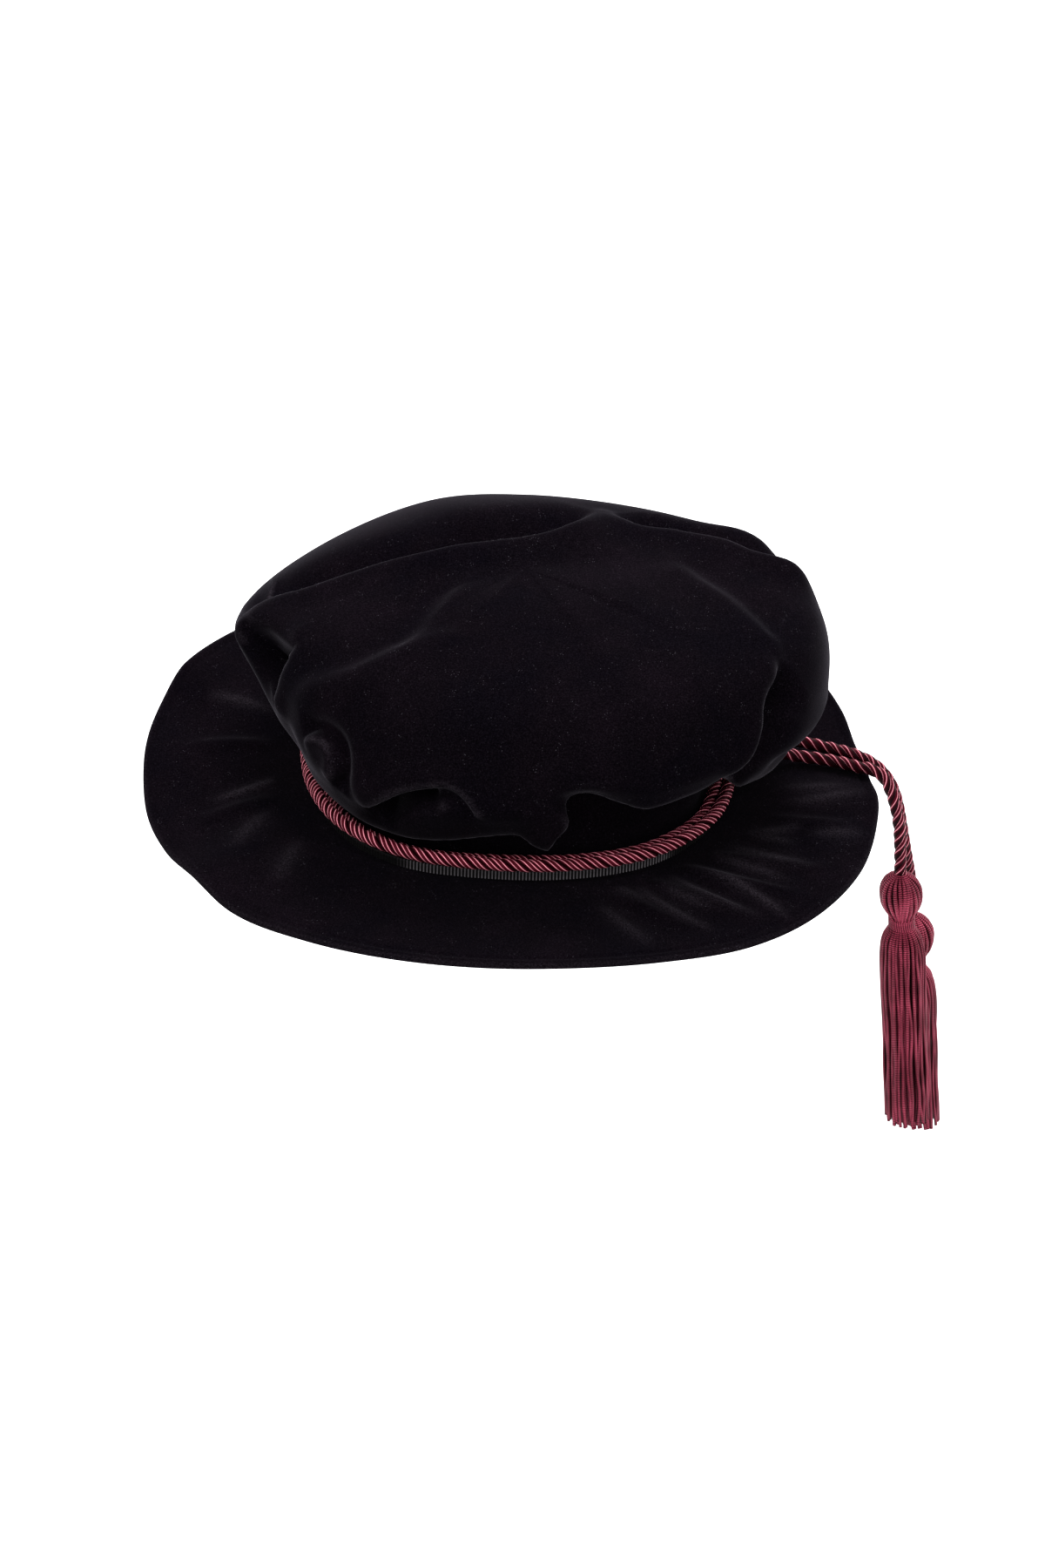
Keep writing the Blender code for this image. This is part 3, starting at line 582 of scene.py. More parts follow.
# The knit's loops are painted light: bright on each loop, with near-black painted shade between loops.
loop_painted_light = colour_steps(chainette_look, loops.outputs["Fac"], [
    (0.0, (0.08, 0.002, 0.012)), (1.0, (0.6, 0.085, 0.15))])
thread_shade = colour_steps(chainette_look, chainette_tone.outputs["Fac"], [
    (0.3, (0.45, 0.38, 0.42)), (0.68, (1.15, 1.15, 1.15))])
# Painted shade: each thread is darker on its side turned in towards the tassel's middle.
inner_side_painted_shade = colour_steps(chainette_look, measured(chainette_look, "outside"), [
    (0.4, (0.04, 0.02, 0.03)), (0.95, (1.0, 1.0, 1.0)), (0.7, (0.4, 0.3, 0.33))])
patch_place = chainette_look.node_tree.nodes.new("ShaderNodeTexCoord")
patches = node(chainette_look, "ShaderNodeTexNoise", Scale=70.0, Detail=2.0)
fed(chainette_look, patch_place.outputs["Object"], patches.inputs["Vector"])
patch_shade = colour_steps(chainette_look, patches.outputs["Fac"], [
    (0.36, (0.62, 0.5, 0.55)), (0.62, (1.12, 1.15, 1.15))])
toned = blended(chainette_look, "MULTIPLY", 1.0, loop_painted_light, thread_shade)
patched = blended(chainette_look, "MULTIPLY", 1.0, toned, patch_shade)
fed(chainette_look, blended(chainette_look, "MULTIPLY", 1.0, patched, inner_side_painted_shade),
    chainette.inputs["Base Color"])
bump(chainette_look, chainette, loops.outputs["Fac"], 0.8, 0.0005)


def hang_tassel(name, knot, skirt_length, seed):
    """A tassel from its top point down, leaning a little outwards as it hangs."""
    chance = np.random.default_rng(seed)
    threads = Threads()
    place = np.array([knot[0], knot[1], knot[2] - KNOT_DROP])
    lean = np.array([TASSEL_LEAN[0], TASSEL_LEAN[1], -1.0])

    def outward(line, angle):
        return squared(np.broadcast_to([math.cos(angle), math.sin(angle), 0.0], line.shape), line)

    def at(depth, radius, angle):
        depth, radius, angle = np.broadcast_arrays(np.asarray(depth, float), radius, angle)
        spread = np.stack([radius * np.cos(angle), radius * np.sin(angle), np.zeros_like(depth)], axis=-1)
        return place + depth[..., None] * lean + spread

    core_depth = np.array([1.0, 3.0, 6.5, 11.0, 15.5, 18.5, KNOB_HEIGHT, 24.0, 27.0, 32.0, 40.0])
    core_radius = np.array([2.6, 5.0, 7.4, 8.2, 7.4, 5.8, 4.8, 4.8, 5.0, 7.0, 5.0])
    core = evenly(at(core_depth, 0.0, 0.0), 60)
    threads.add(core, np.interp(place[2] - core[:, 2], core_depth, core_radius), 24, shade=0.4)
    knob_depth = np.array([-0.6, 0.6, 2.6, 5.8, 9.6, 13.4, 17.0, 19.6, KNOB_HEIGHT + 1.0])
    knob_radius = np.array([2.4, 3.9, 6.5, 8.2, 8.7, 8.3, 7.0, 5.6, 4.9])
    for k in range(KNOB_THREADS):
        angle = 2 * math.pi * (k + chance.uniform(-0.12, 0.12)) / KNOB_THREADS
        rise = 1 + chance.uniform(-0.03, 0.03)
        waver = 0.10 * np.sin(knob_depth / 7 + k)
        line = evenly(spline(at(knob_depth, knob_radius * rise, angle + waver), 60), 26)
        deep = place[2] - line[:, 2]
        thick = np.interp(deep, [0, 4, 10, 17, 21], [0.55, 1.0, 1.2, 1.05, 0.8])
        threads.add(line, thick, 8, outward(line, angle), shade=chance.uniform())
    neck = KNOB_HEIGHT + np.linspace(0.6, 6.0, 150)
    wound = np.linspace(0, 2 * math.pi * NECK_TURNS, 150)
    band = at(neck, NECK_RADIUS - 0.35, wound)
    threads.add(band, 0.62, 6, unit(band - at(neck, 0.0, wound)), shade=0.9)
    low = KNOB_HEIGHT + SKIRT_BELOW_KNOB
    for many, part, shift in SKIRT_ROWS:
        for k in range(many):
            angle = 2 * math.pi * (k + shift + chance.uniform(-0.3, 0.3)) / many
            long = skirt_length * (1 - abs(chance.normal(0, 0.018)))
            fall = np.array([-1.5, 1.5, 6.0, 14.0, 0.3 * long, 0.5 * long, 0.7 * long, 0.87 * long, long])
            reach = np.array([4.2, 5.6, 8.2, 9.4, 9.5, 9.3, 9.4, 9.6, 9.6]) * part
            sway = chance.normal(0, 0.28, len(fall)) * np.clip(fall / 20, 0, 1)
            wander = angle + chance.normal(0, 0.05, len(fall)) * np.clip(fall / 30, 0, 1)
            line = evenly(spline(at(low + fall, np.maximum(reach + sway, 0.4), wander), 120), 44)
            threads.add(line, CHAINETTE / 2 * chance.uniform(0.86, 1.08), 6, outward(line, angle), 0.85,
                        chance.uniform())
    made = threads.piece(name, chainette_look)
    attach(made, "root")
    return made


front_tassel = hang_tassel("front_tassel_threads", FRONT_CORD_ROUTE[-1], FRONT_SKIRT_LENGTH, 11)
back_tassel = hang_tassel("back_tassel_threads", BACK_CORD_ROUTE[-1], BACK_SKIRT_LENGTH, 12)
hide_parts("tassel_front")
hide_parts("tassel_back")


# Ribbon. A narrow black grosgrain ribbon stands on edge round the foot of the crown, under the
# cord, with close upright ribs, and covers the seam of crown and brim.
GAP = 0.3
RIBBON_ROOM = 0.5
RIBBON_HEIGHT = 4.0
RIBBON_THICK = 0.62
RIBBON_RADIUS = 95.0
# Angles between which the ribs get their painted highlights; further round the ribbon is painted dark as in
# the cord's shadow.
RIBBON_PAINTED_LIT_ANGLES = (232, 322)
RIB_PITCH = 1.45
RIB_DEPTH = 0.2
RIB_POINTS = 5

ribbon_look, ribbon_shader = plain_look("ribbed_ribbon", (0.03, 0.028, 0.03), 0.5)
ribbon_shader.inputs["Specular IOR Level"].default_value = 0.1
weft = node(ribbon_look, "ShaderNodeTexNoise", Scale=2600.0, Detail=2.0)
bump(ribbon_look, ribbon_shader, weft.outputs["Fac"], 0.3, 0.0002)
# The ribbon's colour is painted light: painted highlights on the rib crests and painted shade between them,
# only between the two angles given above.
painted_rib_light = colour_steps(ribbon_look, measured(ribbon_look, "rib_painted_light"), [
    (0.55, (0.002, 0.0018, 0.002)), (0.97, (0.13, 0.12, 0.13)), (0.85, (0.03, 0.027, 0.03))])
fed(ribbon_look, painted_rib_light, ribbon_shader.inputs["Base Color"])
rib_count = int(2 * math.pi * RIBBON_RADIUS / RIB_PITCH)
ribbon_around = rib_count * RIB_POINTS
ribbon_turn = np.arange(ribbon_around) * 2 * math.pi / ribbon_around
ribbon_inner = foot_radius(np.degrees(ribbon_turn)) + RIBBON_ROOM
ribbon_low = BRIM_THICKNESS + GAP
ribbed_side = [(RIBBON_THICK, high, RIB_DEPTH) for high in (0.0, 0.2, 0.45, 0.7, 0.93)]
ribbon_section = [(0.0, 0.0, 0), *ribbed_side, (0.5, 1.0, 0), (0.0, 1.0, 0), (0.0, 0.5, 0)]
ribbon_points = []
ribs = np.abs(np.sin(ribbon_turn * rib_count / 2)) ** 0.7
ribbon_degrees = np.degrees(ribbon_turn)
ribbon_painted_lit = (smooth_step((ribbon_degrees - RIBBON_PAINTED_LIT_ANGLES[0]) / 12)
                * smooth_step((RIBBON_PAINTED_LIT_ANGLES[1] - ribbon_degrees) / 12))
for thick, high, rib_depth in ribbon_section:
    radius = ribbon_inner + thick + rib_depth * ribs
    height = ribbon_low + RIBBON_HEIGHT * high + np.zeros_like(ribbon_turn)
    ribbon_points.append(np.stack([radius * np.cos(ribbon_turn), radius * np.sin(ribbon_turn), height],
                                  axis=1))
ribbon_points = np.stack(ribbon_points, axis=1)


def cloth_piece(name, points, faces, look, mark, values):
    """A smooth piece from points in millimetres, with one value kept at each point."""
    mesh = bpy.data.meshes.new(name)
    mesh.from_pydata((np.asarray(points).reshape(-1, 3) * MM).tolist(), [], [list(face) for face in faces])
    kept = mesh.attributes.new(mark, "FLOAT", "POINT")
    kept.data.foreach_set("value", np.asarray(values, float).ravel())
    mesh.shade_smooth()
    mesh.materials.append(look)
    made = placed(name, mesh)
    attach(made, "root")
    return made


ribbon_faces = grid_faces(ribbon_around, len(ribbon_section), True, True).tolist()
ribbon = cloth_piece("ribbed_ribbon", ribbon_points, ribbon_faces, ribbon_look, "rib_painted_light",
                     np.repeat(ribs * ribbon_painted_lit, len(ribbon_section)))
ribbon.data.set_sharp_from_angle(angle=math.radians(60))
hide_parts("ribbon_band")


# Brim. Two faces of black velvet over a stiff layer, turned in at the edge and stitched round it. It
# waves a little, and the top face has soft creases that run out from the crown.
OPENING_INSIDE_FOOT = 2.3
BRIM_AROUND = 720
CREASES_FROM = 104.0
CREASE_FADE = 0.45
HEM_INSIDE_EDGE = 5.2
HEM_DEPTH = 0.45
HEM_HALF_WIDTH = 0.7
BRIM_CREASES = [
    # points (angle, radius) along the crease, height, half width
    ([(312, 101), (317, 125), (318, 150), (317, 160)], 1.0, 1.8),
    ([(307, 104), (309, 122), (314, 155)], 0.9, 1.8),
    ([(298, 104), (300, 126), (305, 154)], 0.9, 2.0),
    ([(303, 108), (305, 122), (309, 140)], 0.6, 2.4),
    ([(287, 112), (290, 134), (293, 157)], 0.6, 2.8),
    ([(292, 98), (295, 110), (298, 124)], 0.6, 2.2),
    ([(320, 103), (323, 120), (327, 146)], 0.7, 2.6),
    ([(326, 104), (329, 122), (334, 148)], 0.7, 2.6),
    ([(333, 107), (339, 120), (346, 130)], 0.7, 2.2),
    ([(333, 110), (336, 122), (338, 134)], 0.6, 2.2),
    ([(349, 114), (355, 135), (360, 156)], 0.7, 2.4),
    ([(355, 110), (358, 128), (361, 150)], 0.6, 2.6),
    ([(341, 130), (345, 144), (348, 158)], 0.6, 2.6),
    ([(163, 149), (161, 133), (159, 112)], 0.7, 2.6),
    ([(193, 140), (191, 120), (186, 100)], 1.0, 2.0),
    ([(199, 110), (204, 125), (210, 142)], 0.6, 3.0),
    ([(214, 108), (218, 122), (224, 142)], 0.5, 3.4),
    ([(60, 112), (64, 130), (66, 148)], 0.6, 2.2),
    ([(95, 110), (92, 128), (93, 150)], 0.7, 2.0),
    ([(128, 112), (132, 130), (131, 148)], 0.6, 2.4),
]

# The mark kept at the velvet's points is 0.5 where nothing is painted, more where a painted highlight is
# laid along outward bends, crease tops and the brim's edge, and less where painted shade is laid in hollows
# that folds have sunk.
velvet_look, velvet = plain_look("black_velvet", (0.003, 0.0018, 0.0032), 0.95)
velvet.inputs["Specular IOR Level"].default_value = 0.0
velvet.inputs["Sheen Weight"].default_value = 0.074
velvet.inputs["Sheen Roughness"].default_value = 0.3
velvet.inputs["Sheen Tint"].default_value = (0.9, 0.84, 0.98, 1.0)
surface_place = velvet_look.node_tree.nodes.new("ShaderNodeTexCoord")
pile = node(velvet_look, "ShaderNodeTexNoise", Scale=1500.0, Detail=2.0, Roughness=0.7)
nap = node(velvet_look, "ShaderNodeTexNoise", Scale=26.0, Detail=6.0, Roughness=0.62)
# Small light specks scattered at random over the velvet.
specks = node(velvet_look, "ShaderNodeTexVoronoi", Scale=850.0, Randomness=1.0)
speck_places = node(velvet_look, "ShaderNodeTexNoise", Scale=210.0, Detail=1.0)
for texture in (pile, nap, specks, speck_places):
    fed(velvet_look, surface_place.outputs["Object"], texture.inputs["Vector"])
pile_shade = colour_steps(velvet_look, pile.outputs["Fac"], [
    (0.32, (0.001, 0.0007, 0.0011)), (0.8, (0.0072, 0.0056, 0.0076)), (0.55, (0.0026, 0.0018, 0.0028))])
nap_shade = colour_steps(velvet_look, nap.outputs["Fac"], [
    (0.36, (0.78, 0.83, 0.92)), (0.66, (1.3, 1.2, 1.25)), (0.52, (1.0, 0.98, 1.0))])
# Painted highlight colour, laid over the velvet where the mark rises above 0.5.
crest_highlight_colour = colour_steps(velvet_look, pile.outputs["Fac"], [
    (0.35, (0.007, 0.0055, 0.007)), (0.65, (0.06, 0.05, 0.062))])
# Painted shade, laid where the mark falls below 0.5, in the hollows that folds have sunk.
sunk_painted_shade = colour_steps(velvet_look, measured(velvet_look, "painted_light"), [
    (0.0, (0.5, 0.5, 0.56)), (0.5, (1.0, 1.0, 1.0))])
crest_highlight_where = colour_steps(velvet_look, measured(velvet_look, "painted_light"), [
    (0.5, (0.0, 0.0, 0.0)), (1.0, (1.0, 1.0, 1.0))])
speck_shape = colour_steps(velvet_look, specks.outputs["Distance"], [
    (0.1, (1.0, 1.0, 1.0)), (0.19, (0.0, 0.0, 0.0))])
speck_where = colour_steps(velvet_look, speck_places.outputs["Fac"], [
    (0.57, (0.0, 0.0, 0.0)), (0.66, (1.0, 1.0, 1.0))])
napped = blended(velvet_look, "MULTIPLY", 1.0, pile_shade, nap_shade)
with_painted_shade = blended(velvet_look, "MULTIPLY", 1.0, napped, sunk_painted_shade)
laid = blended(velvet_look, "MIX", crest_highlight_where, with_painted_shade, crest_highlight_colour)
speck_mask = blended(velvet_look, "MULTIPLY", 1.0, speck_shape, speck_where)
specked = blended(velvet_look, "MULTIPLY", 1.0, speck_mask, (0.03, 0.028, 0.034))
fed(velvet_look, blended(velvet_look, "ADD", 1.0, laid, specked), velvet.inputs["Base Color"])
bump(velvet_look, velvet, pile.outputs["Fac"], 0.3, 0.0004)


def nearest_on(line, places):
    """How places lie to a line: squared distance, offset, the line's direction, share of the line."""
    start, run = line[:-1], np.diff(line, axis=0)
    best = np.full(len(places), 1e9)
    off = np.zeros_like(places)
    tangent = np.zeros_like(places)
    along = np.zeros(len(places))
    for k in range(len(run)):
        t = np.clip((places - start[k]) @ run[k] / (run[k] @ run[k]), 0, 1)
        away = places - start[k] - t[:, None] * run[k]
        far = (away**2).sum(axis=1)
        near = far < best
        best[near] = far[near]
        off[near] = away[near]
        tangent[near] = run[k] / np.linalg.norm(run[k])
        along[near] = (k + t[near]) / len(run)
    return best, off, tangent, along


def crease_height(degrees, radius):
    """Height of the fine creases on the brim's top face."""
    turn = np.radians(degrees)
    places = np.stack([(radius * np.cos(turn)).ravel(), (radius * np.sin(turn)).ravel()], axis=1)
    height = np.zeros(len(places))
    for points, rise, width in BRIM_CREASES:
        line = spline([polar(a, r, 0.0)[:2] for a, r in points], 24)
        best, _, _, along = nearest_on(line, places)
        fade = smooth_step(along / CREASE_FADE) * smooth_step((1 - along) / CREASE_FADE)
        ridge = 0.7 * np.exp(-best / width**2) + 0.3 * np.exp(-best / (2.5 * width)**2)
        height += rise * fade * ridge
    return height.reshape(radius.shape)


def brim_section(opening, edge):
    """Radius and lift of each point of the brim's section, from the opening round."""
    radii = opening + np.linspace(0, 1, 60) * (edge - 3.0 - opening)
    rim = [(-3.0, 0.0), (-2.2, 0.0), (-1.2, 0.15), (-0.45, 0.7), (-0.3, 1.5), (-0.45, 2.3), (-1.2, 2.85),
           (-2.2, 3.0), (-3.0, 3.0)]
    under = [(r, 0.0) for r in radii[:-1:3]]
    over = [(r, BRIM_THICKNESS) for r in radii[-2::-1]]
    return under + [(edge + out, lift) for out, lift in rim] + over


brim_turn = np.arange(BRIM_AROUND) * 360.0 / BRIM_AROUND
brim_edge = read_round(BRIM_EDGE, 1, brim_turn)
brim_opening = foot_radius(brim_turn) - OPENING_INSIDE_FOOT
section = np.array([brim_section(*radii) for radii in zip(brim_opening, brim_edge)])
brim_radius, brim_lift = section[:, :, 0], section[:, :, 1]
brim_angle = np.repeat(brim_turn[:, None], brim_radius.shape[1], axis=1)
to_edge = brim_edge[:, None] - brim_radius
top_face = smooth_step(brim_lift / BRIM_THICKNESS)
brim_z = brim_height(brim_angle, brim_radius) + brim_lift
creases = top_face * crease_height(brim_angle, brim_radius) * smooth_step((brim_radius - CREASES_FROM) / 6)
brim_z += creases
brim_z -= HEM_DEPTH * top_face * np.exp(-((to_edge - HEM_INSIDE_EDGE) / HEM_HALF_WIDTH)**2)
brim_points = np.stack([brim_radius * np.cos(np.radians(brim_angle)),
                        brim_radius * np.sin(np.radians(brim_angle)), brim_z], axis=2)
# Painted highlight along the tops of the creases and in a thin line just inside the brim's edge.
brim_painted_highlight = np.clip(0.3 * creases + 0.1 * np.exp(-((to_edge - 0.6) / 0.9)**2), 0, 1)
brim_faces = grid_faces(BRIM_AROUND, brim_radius.shape[1], True, True).tolist()
brim = cloth_piece("velvet_brim", brim_points, brim_faces, velvet_look, "painted_light", 0.5 + 0.5 * brim_painted_highlight)
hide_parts("brim")


# Crown. A large round of black velvet gathered into the head opening, so full that it falls over its
# own foot in lobes. It is cloth all through and nothing stiffens it.
CROWN_WALL = 1.4
CORD_ROOM = 0.7
NECK_INSIDE_FOOT = 6.2
CROWN_TOP = 103.0
CROWN_AROUND = 480
CROWN_UP = 132
TOP_ROWS = 60
FOLD_FADE = 0.16
HIGHLIGHT_BEND = 0.16
SUNK_DEPTH = 5.0
CROWN_SECTIONS = [
    # angle, neck r, neck z, edge r, edge z, belly r, belly z, shoulder r, shoulder z, top z
    (0, 88, 31, 123, 29, 133, 54, 126, 85, 100),
    (20, 88, 31, 116, 25, 129, 54, 119, 88, 101),
    (45, 89, 29, 110, 21, 127, 52, 109, 87, 105),
    (70, 90, 28, 110, 22, 127, 50, 104, 84, 108),
    (90, 90, 28, 110, 22, 126, 50, 103, 83, 109),
    (115, 90, 28, 110, 22, 126, 50, 103, 85, 109),
    (140, 89, 28, 110, 24, 127, 54, 104, 83, 106),
    (162, 88, 29, 108, 27, 127, 60, 107, 81, 103),
    (180, 87, 31, 105, 30, 126, 66, 111, 79, 99),
    (194, 87, 32, 103, 31, 116, 57, 107, 78, 97),
    (204, 88, 31, 101, 28.5, 108, 52, 102, 78, 96),
    (213, 89, 28, 102, 23.5, 110, 48, 99, 78, 96),
    (222, 91, 26, 102, 20.5, 112, 46, 98, 78, 96),
    (232, 91, 26, 102, 18.5, 113, 46, 96, 78, 97),
    (242, 91, 27, 102, 19, 113, 48, 95, 78, 98),
    (252, 90, 29, 102, 22, 112, 48, 95, 78, 98),
    (262, 89, 32, 102, 26.5, 111, 47, 95, 78, 98),
    (270, 88, 34, 103, 29, 111, 47, 95, 78, 98),
    (274.5, 88, 30, 104, 24, 111, 48, 96, 79, 98),
    (277.5, 88, 30, 104, 22, 112, 52, 96, 79, 98),
    (281, 88, 48, 106, 43.5, 113, 58, 97, 80, 98),
    (286, 88, 54, 109, 51.5, 115, 61, 98, 81, 98),
    (293, 88, 50, 111, 46, 117, 59, 100, 81, 98),
    (300, 89, 46, 113, 41, 118, 57, 102, 82, 99),
    (308, 89, 46, 114, 42, 119, 57, 104, 82, 99),
    (316, 88, 46, 114, 42, 120, 58, 107, 83, 99),
    (324, 87, 40, 112, 37, 122, 57, 110, 84, 99),
    (332, 87, 32, 110, 27, 125, 55, 114, 84, 100),
    (342, 87, 31, 115, 25, 129, 53, 119, 84, 100),
]
CROWN_FOLDS = [
    # crest points (x, y, z), crest rise, half width, dip depth, distance, near and far half width, lap
    # the crease across the top, from the left corner to where the cloth is drawn together
    ([(-125, 2, 70), (-116, 6, 76), (-97, 1, 85), (-78, 3, 92), (-60, 6, 97), (-42, 8, 101), (-24, 12, 104),
      (-7, 15, 105), (11, 22, 105), (23, 33, 105), (34, 54, 103)], 2.6, 4.5, 9.0, 7.0, 5.5, 15.0, 3.5),
    # and on to the other side
    ([(34, 54, 103), (46, 41, 102), (66, 40, 99), (84, 34, 96), (96, 28, 94), (106, 26, 92), (122, 22, 82)],
     2.4, 4.5, 8.0, 7.0, 5.5, 13.0, 3.0),
    ([(46, 53, 101), (58, 50, 100), (70, 46, 98)], 1.6, 4.0, 2.6, 5.0, 4.0, 7.0, 0.8),
    # the deep pocket at the left, seen between the front fold and the back one
    ([(-104, -33, 46), (-106, -37, 52), (-105, -39, 58), (-103, -39, 66), (-100, -38, 74), (-96, -32, 81)],
     2.2, 4.5, 22.0, 15.0, 11.0, 11.0, 3.4),
    ([(-94, -33, 82), (-103, -21, 81), (-112, -9, 79), (-122, 2, 73)], 2.0, 4.0, 8.0, 8.0, 6.5, 8.0, 2.0),
    # the front lobe's right edge over the rear one
    ([(107, -40, 86), (104, -50, 82), (101, -57, 79), (99, -63, 74), (99, -67, 67), (98, -71, 61),
      (95, -74, 55), (90, -77, 50), (83, -81, 47)], 3.0, 5.0, 12.0, 9.0, 7.0, 12.0, 2.8),
    # the pocket at the front left, under the front lobe
    ([(-33, -106, 57), (-42, -104, 55), (-51, -100, 50), (-60, -94, 41), (-67, -86, 32)],
     2.4, 3.6, 16.0, 7.5, 5.0, 5.5, 2.4),
    ([(-13, -110, 40), (-17, -110, 49), (-23, -108, 55), (-31, -106, 58), (-40, -104, 56)],
     1.8, 3.2, 2.6, 5.5, 4.0, 6.0, 2.0),
    # the small curl beside it
    ([(-94, -63, 49), (-86, -71, 55), (-80, -77, 54), (-79, -80, 47), (-82, -79, 38)],
     2.4, 3.0, 5.5, 5.4, 3.2, 5.5, 0.6),
    # soft creases over the front
    ([(-101, -44, 59), (-93, -53, 67), (-84, -59, 74), (-71, -62, 81), (-58, -58, 86), (-47, -51, 90),
      (-39, -42, 93), (-33, -31, 95), (-26, -18, 98), (-17, -3, 101)], 1.9, 6.5, 1.6, 12.0, 8.0, 11.0, 0.6),
    ([(-52, -57, 87), (-43, -53, 90), (-34, -50, 93), (-24, -48, 94)], 0.9, 5.5, 0.8, 10.0, 7.0, 9.0, 0.3),
    ([(61, 18, 100), (70, 4, 99), (85, -12, 96), (97, -27, 93), (104, -34, 90), (113, -33, 85)],
     1.5, 6.0, 1.4, 10.0, 7.0, 10.0, 0.5),
    # the rear lobe's fold above its lower edge
    ([(132, -2, 46), (129, -14, 45), (121, -27, 45), (112, -38, 47), (104, -45, 50)],
     2.2, 4.0, 5.0, 8.0, 6.5, 9.0, 1.6),
]
CROWN_PULLS = [
    # point (x, y, z), how far the pull reaches, the way it moves the cloth
    ((16, -109, 38), 8.0, (5.5, 0.0, 0.0)),
    ((15, -109, 55), 9.5, (-8.0, 0.0, 1.5)),
    ((-119, -18, 61), 13.0, (10.0, 6.0, 0.0)),
    ((114, 27, 90), 13.0, (3.0, 0.5, 3.0)),
    ((94, 50, 96), 19.0, (2.0, 2.0, 5.0)),
]
CROWN_GATHERS = [
    # angle at the lower edge, angle at the top, height of the top, crest rise and half width,
    # dip depth, distance, near and far half width, lap
    (20, 12, 64, 1.8, 5.0, 4.4, 8.0, 6.0, 9.0, 1.8),
    (47, 52, 58, 1.8, 5.0, 5.4, 9.0, 6.5, 10.0, 2.0),
    (72, 66, 76, 2.4, 5.5, 6.4, 9.5, 7.0, 11.0, 2.4),
    (98, 103, 56, 1.8, 5.0, 5.0, 8.5, 6.0, 9.0, 1.8),
    (121, 115, 72, 2.2, 5.5, 6.0, 9.0, 7.0, 11.0, 2.2),
    (147, 150, 60, 1.8, 5.0, 5.0, 8.5, 6.0, 9.0, 1.8),
    (170, 163, 52, 1.6, 5.0, 4.2, 8.0, 5.5, 8.0, 1.6),
]


def crown_section(degrees, samples):
    """Outline of the crown's cloth at one angle, from its foot on the brim to the top."""
    neck_r, neck_z, edge_r, edge_z, belly_r, belly_z, shoulder_r, shoulder_z, top_z = (
        float(read_round(CROWN_SECTIONS, column, degrees)) for column in range(1, 10))
    foot_r = float(foot_radius(degrees))
    foot_z = BRIM_THICKNESS + GAP
    line = [
        (foot_r, foot_z),
        (foot_r - 1.9, foot_z + 2.2),
        (foot_r - 4.6, foot_z + 4.2),
        (foot_r - NECK_INSIDE_FOOT, foot_z + 8.5),
        (foot_r - NECK_INSIDE_FOOT, foot_z + 15.0),
        (neck_r, neck_z),
        (neck_r * 0.4 + edge_r * 0.6, neck_z * 0.5 + edge_z * 0.5 + 2.4),
        (edge_r - 2.6, edge_z + 0.2),
        (edge_r + 0.5, edge_z + 2.6),
        (edge_r * 0.55 + belly_r * 0.45, edge_z * 0.6 + belly_z * 0.4),
        (belly_r, belly_z),
        (shoulder_r, shoulder_z),
        (shoulder_r * 0.45, top_z),
        (0.0, CROWN_TOP),
    ]
    return spline(line, samples)


def grid_normals(grid):
    """Outward normals of the crown's grid."""
    along = np.roll(grid, -1, axis=0) - np.roll(grid, 1, axis=0)
    return unit(np.cross(along, np.gradient(grid, axis=1)))


def fold_shift(cloth, normals, fold):
    """How far one fold moves each point of the cloth."""
    crest_line, rise, crest_width, depth, dip_at, near_width, far_width, lap = fold
    best, off, tangent, along = nearest_on(evenly(spline(crest_line, 120), 30), cloth)
    left = unit(np.cross(normals, tangent))
    side = (off * left).sum(axis=1)
    beyond = np.sqrt(np.maximum(best - side**2, 0))
    fade = smooth_step(along / FOLD_FADE) * smooth_step((1 - along) / FOLD_FADE)
    fade = (0.12 + 0.88 * fade) * np.exp(-(beyond / (2 * crest_width))**2)
    wide = np.where(side < 0, 1.7 * crest_width, crest_width)
    crest = np.exp(-(side / wide)**2)
    dip = np.exp(-((side - dip_at) / np.where(side < dip_at, near_width, far_width))**2)
    return (normals * (rise * crest - depth * dip)[:, None] + left * (lap * crest)[:, None]) * fade[:, None]


def clear_of_cord(grid, normals, wall):
    """Moves the cloth's points that would touch the wound cord, in front of it or behind it."""
    angles = np.degrees(np.arctan2(grid[:, :, 1], grid[:, :, 0]))
    radii = np.hypot(grid[:, :, 0], grid[:, :, 1])
    outward = normals[:, :, 0] * np.cos(np.radians(angles)) + normals[:, :, 1] * np.sin(np.radians(angles))
    room = CORD_DIAMETER / 2 + CORD_ROOM
    for middle_r, middle_z in winding(angles):
        off_r = radii - middle_r
        off_z = grid[:, :, 2] - middle_z
        far = np.maximum(np.hypot(off_r, off_z), 1e-6)
        cord_behind = off_r * outward + off_z * normals[:, :, 2] > 0
        need = np.where(cord_behind, room + wall, room)
        push = np.maximum(need - far, 0) / far
        radii = radii + off_r * push
        grid[:, :, 2] += off_z * push
    grid[:, :, 0] = radii * np.cos(np.radians(angles))
    grid[:, :, 1] = radii * np.sin(np.radians(angles))
    return grid


def gather_crest(low_angle, top_angle, top_height):
    """Points along a gather's crest, on the crown's plain cloth."""
    points = []
    for part in (0.0, 0.25, 0.5, 0.75, 1.0):
        degrees = low_angle + (top_angle - low_angle) * part
        outline = crown_section(degrees, 160)
        lowest = int(np.argmax(outline[:, 0] > float(read_round(CROWN_SECTIONS, 3, degrees)) - 1))
        height = outline[lowest, 1] + (top_height - outline[lowest, 1]) * part
        outside = outline[lowest:]
        nearest = outside[int(np.argmin(np.abs(outside[:, 1] - height)))]
        points.append(polar(degrees, nearest[0], nearest[1]))
    return points


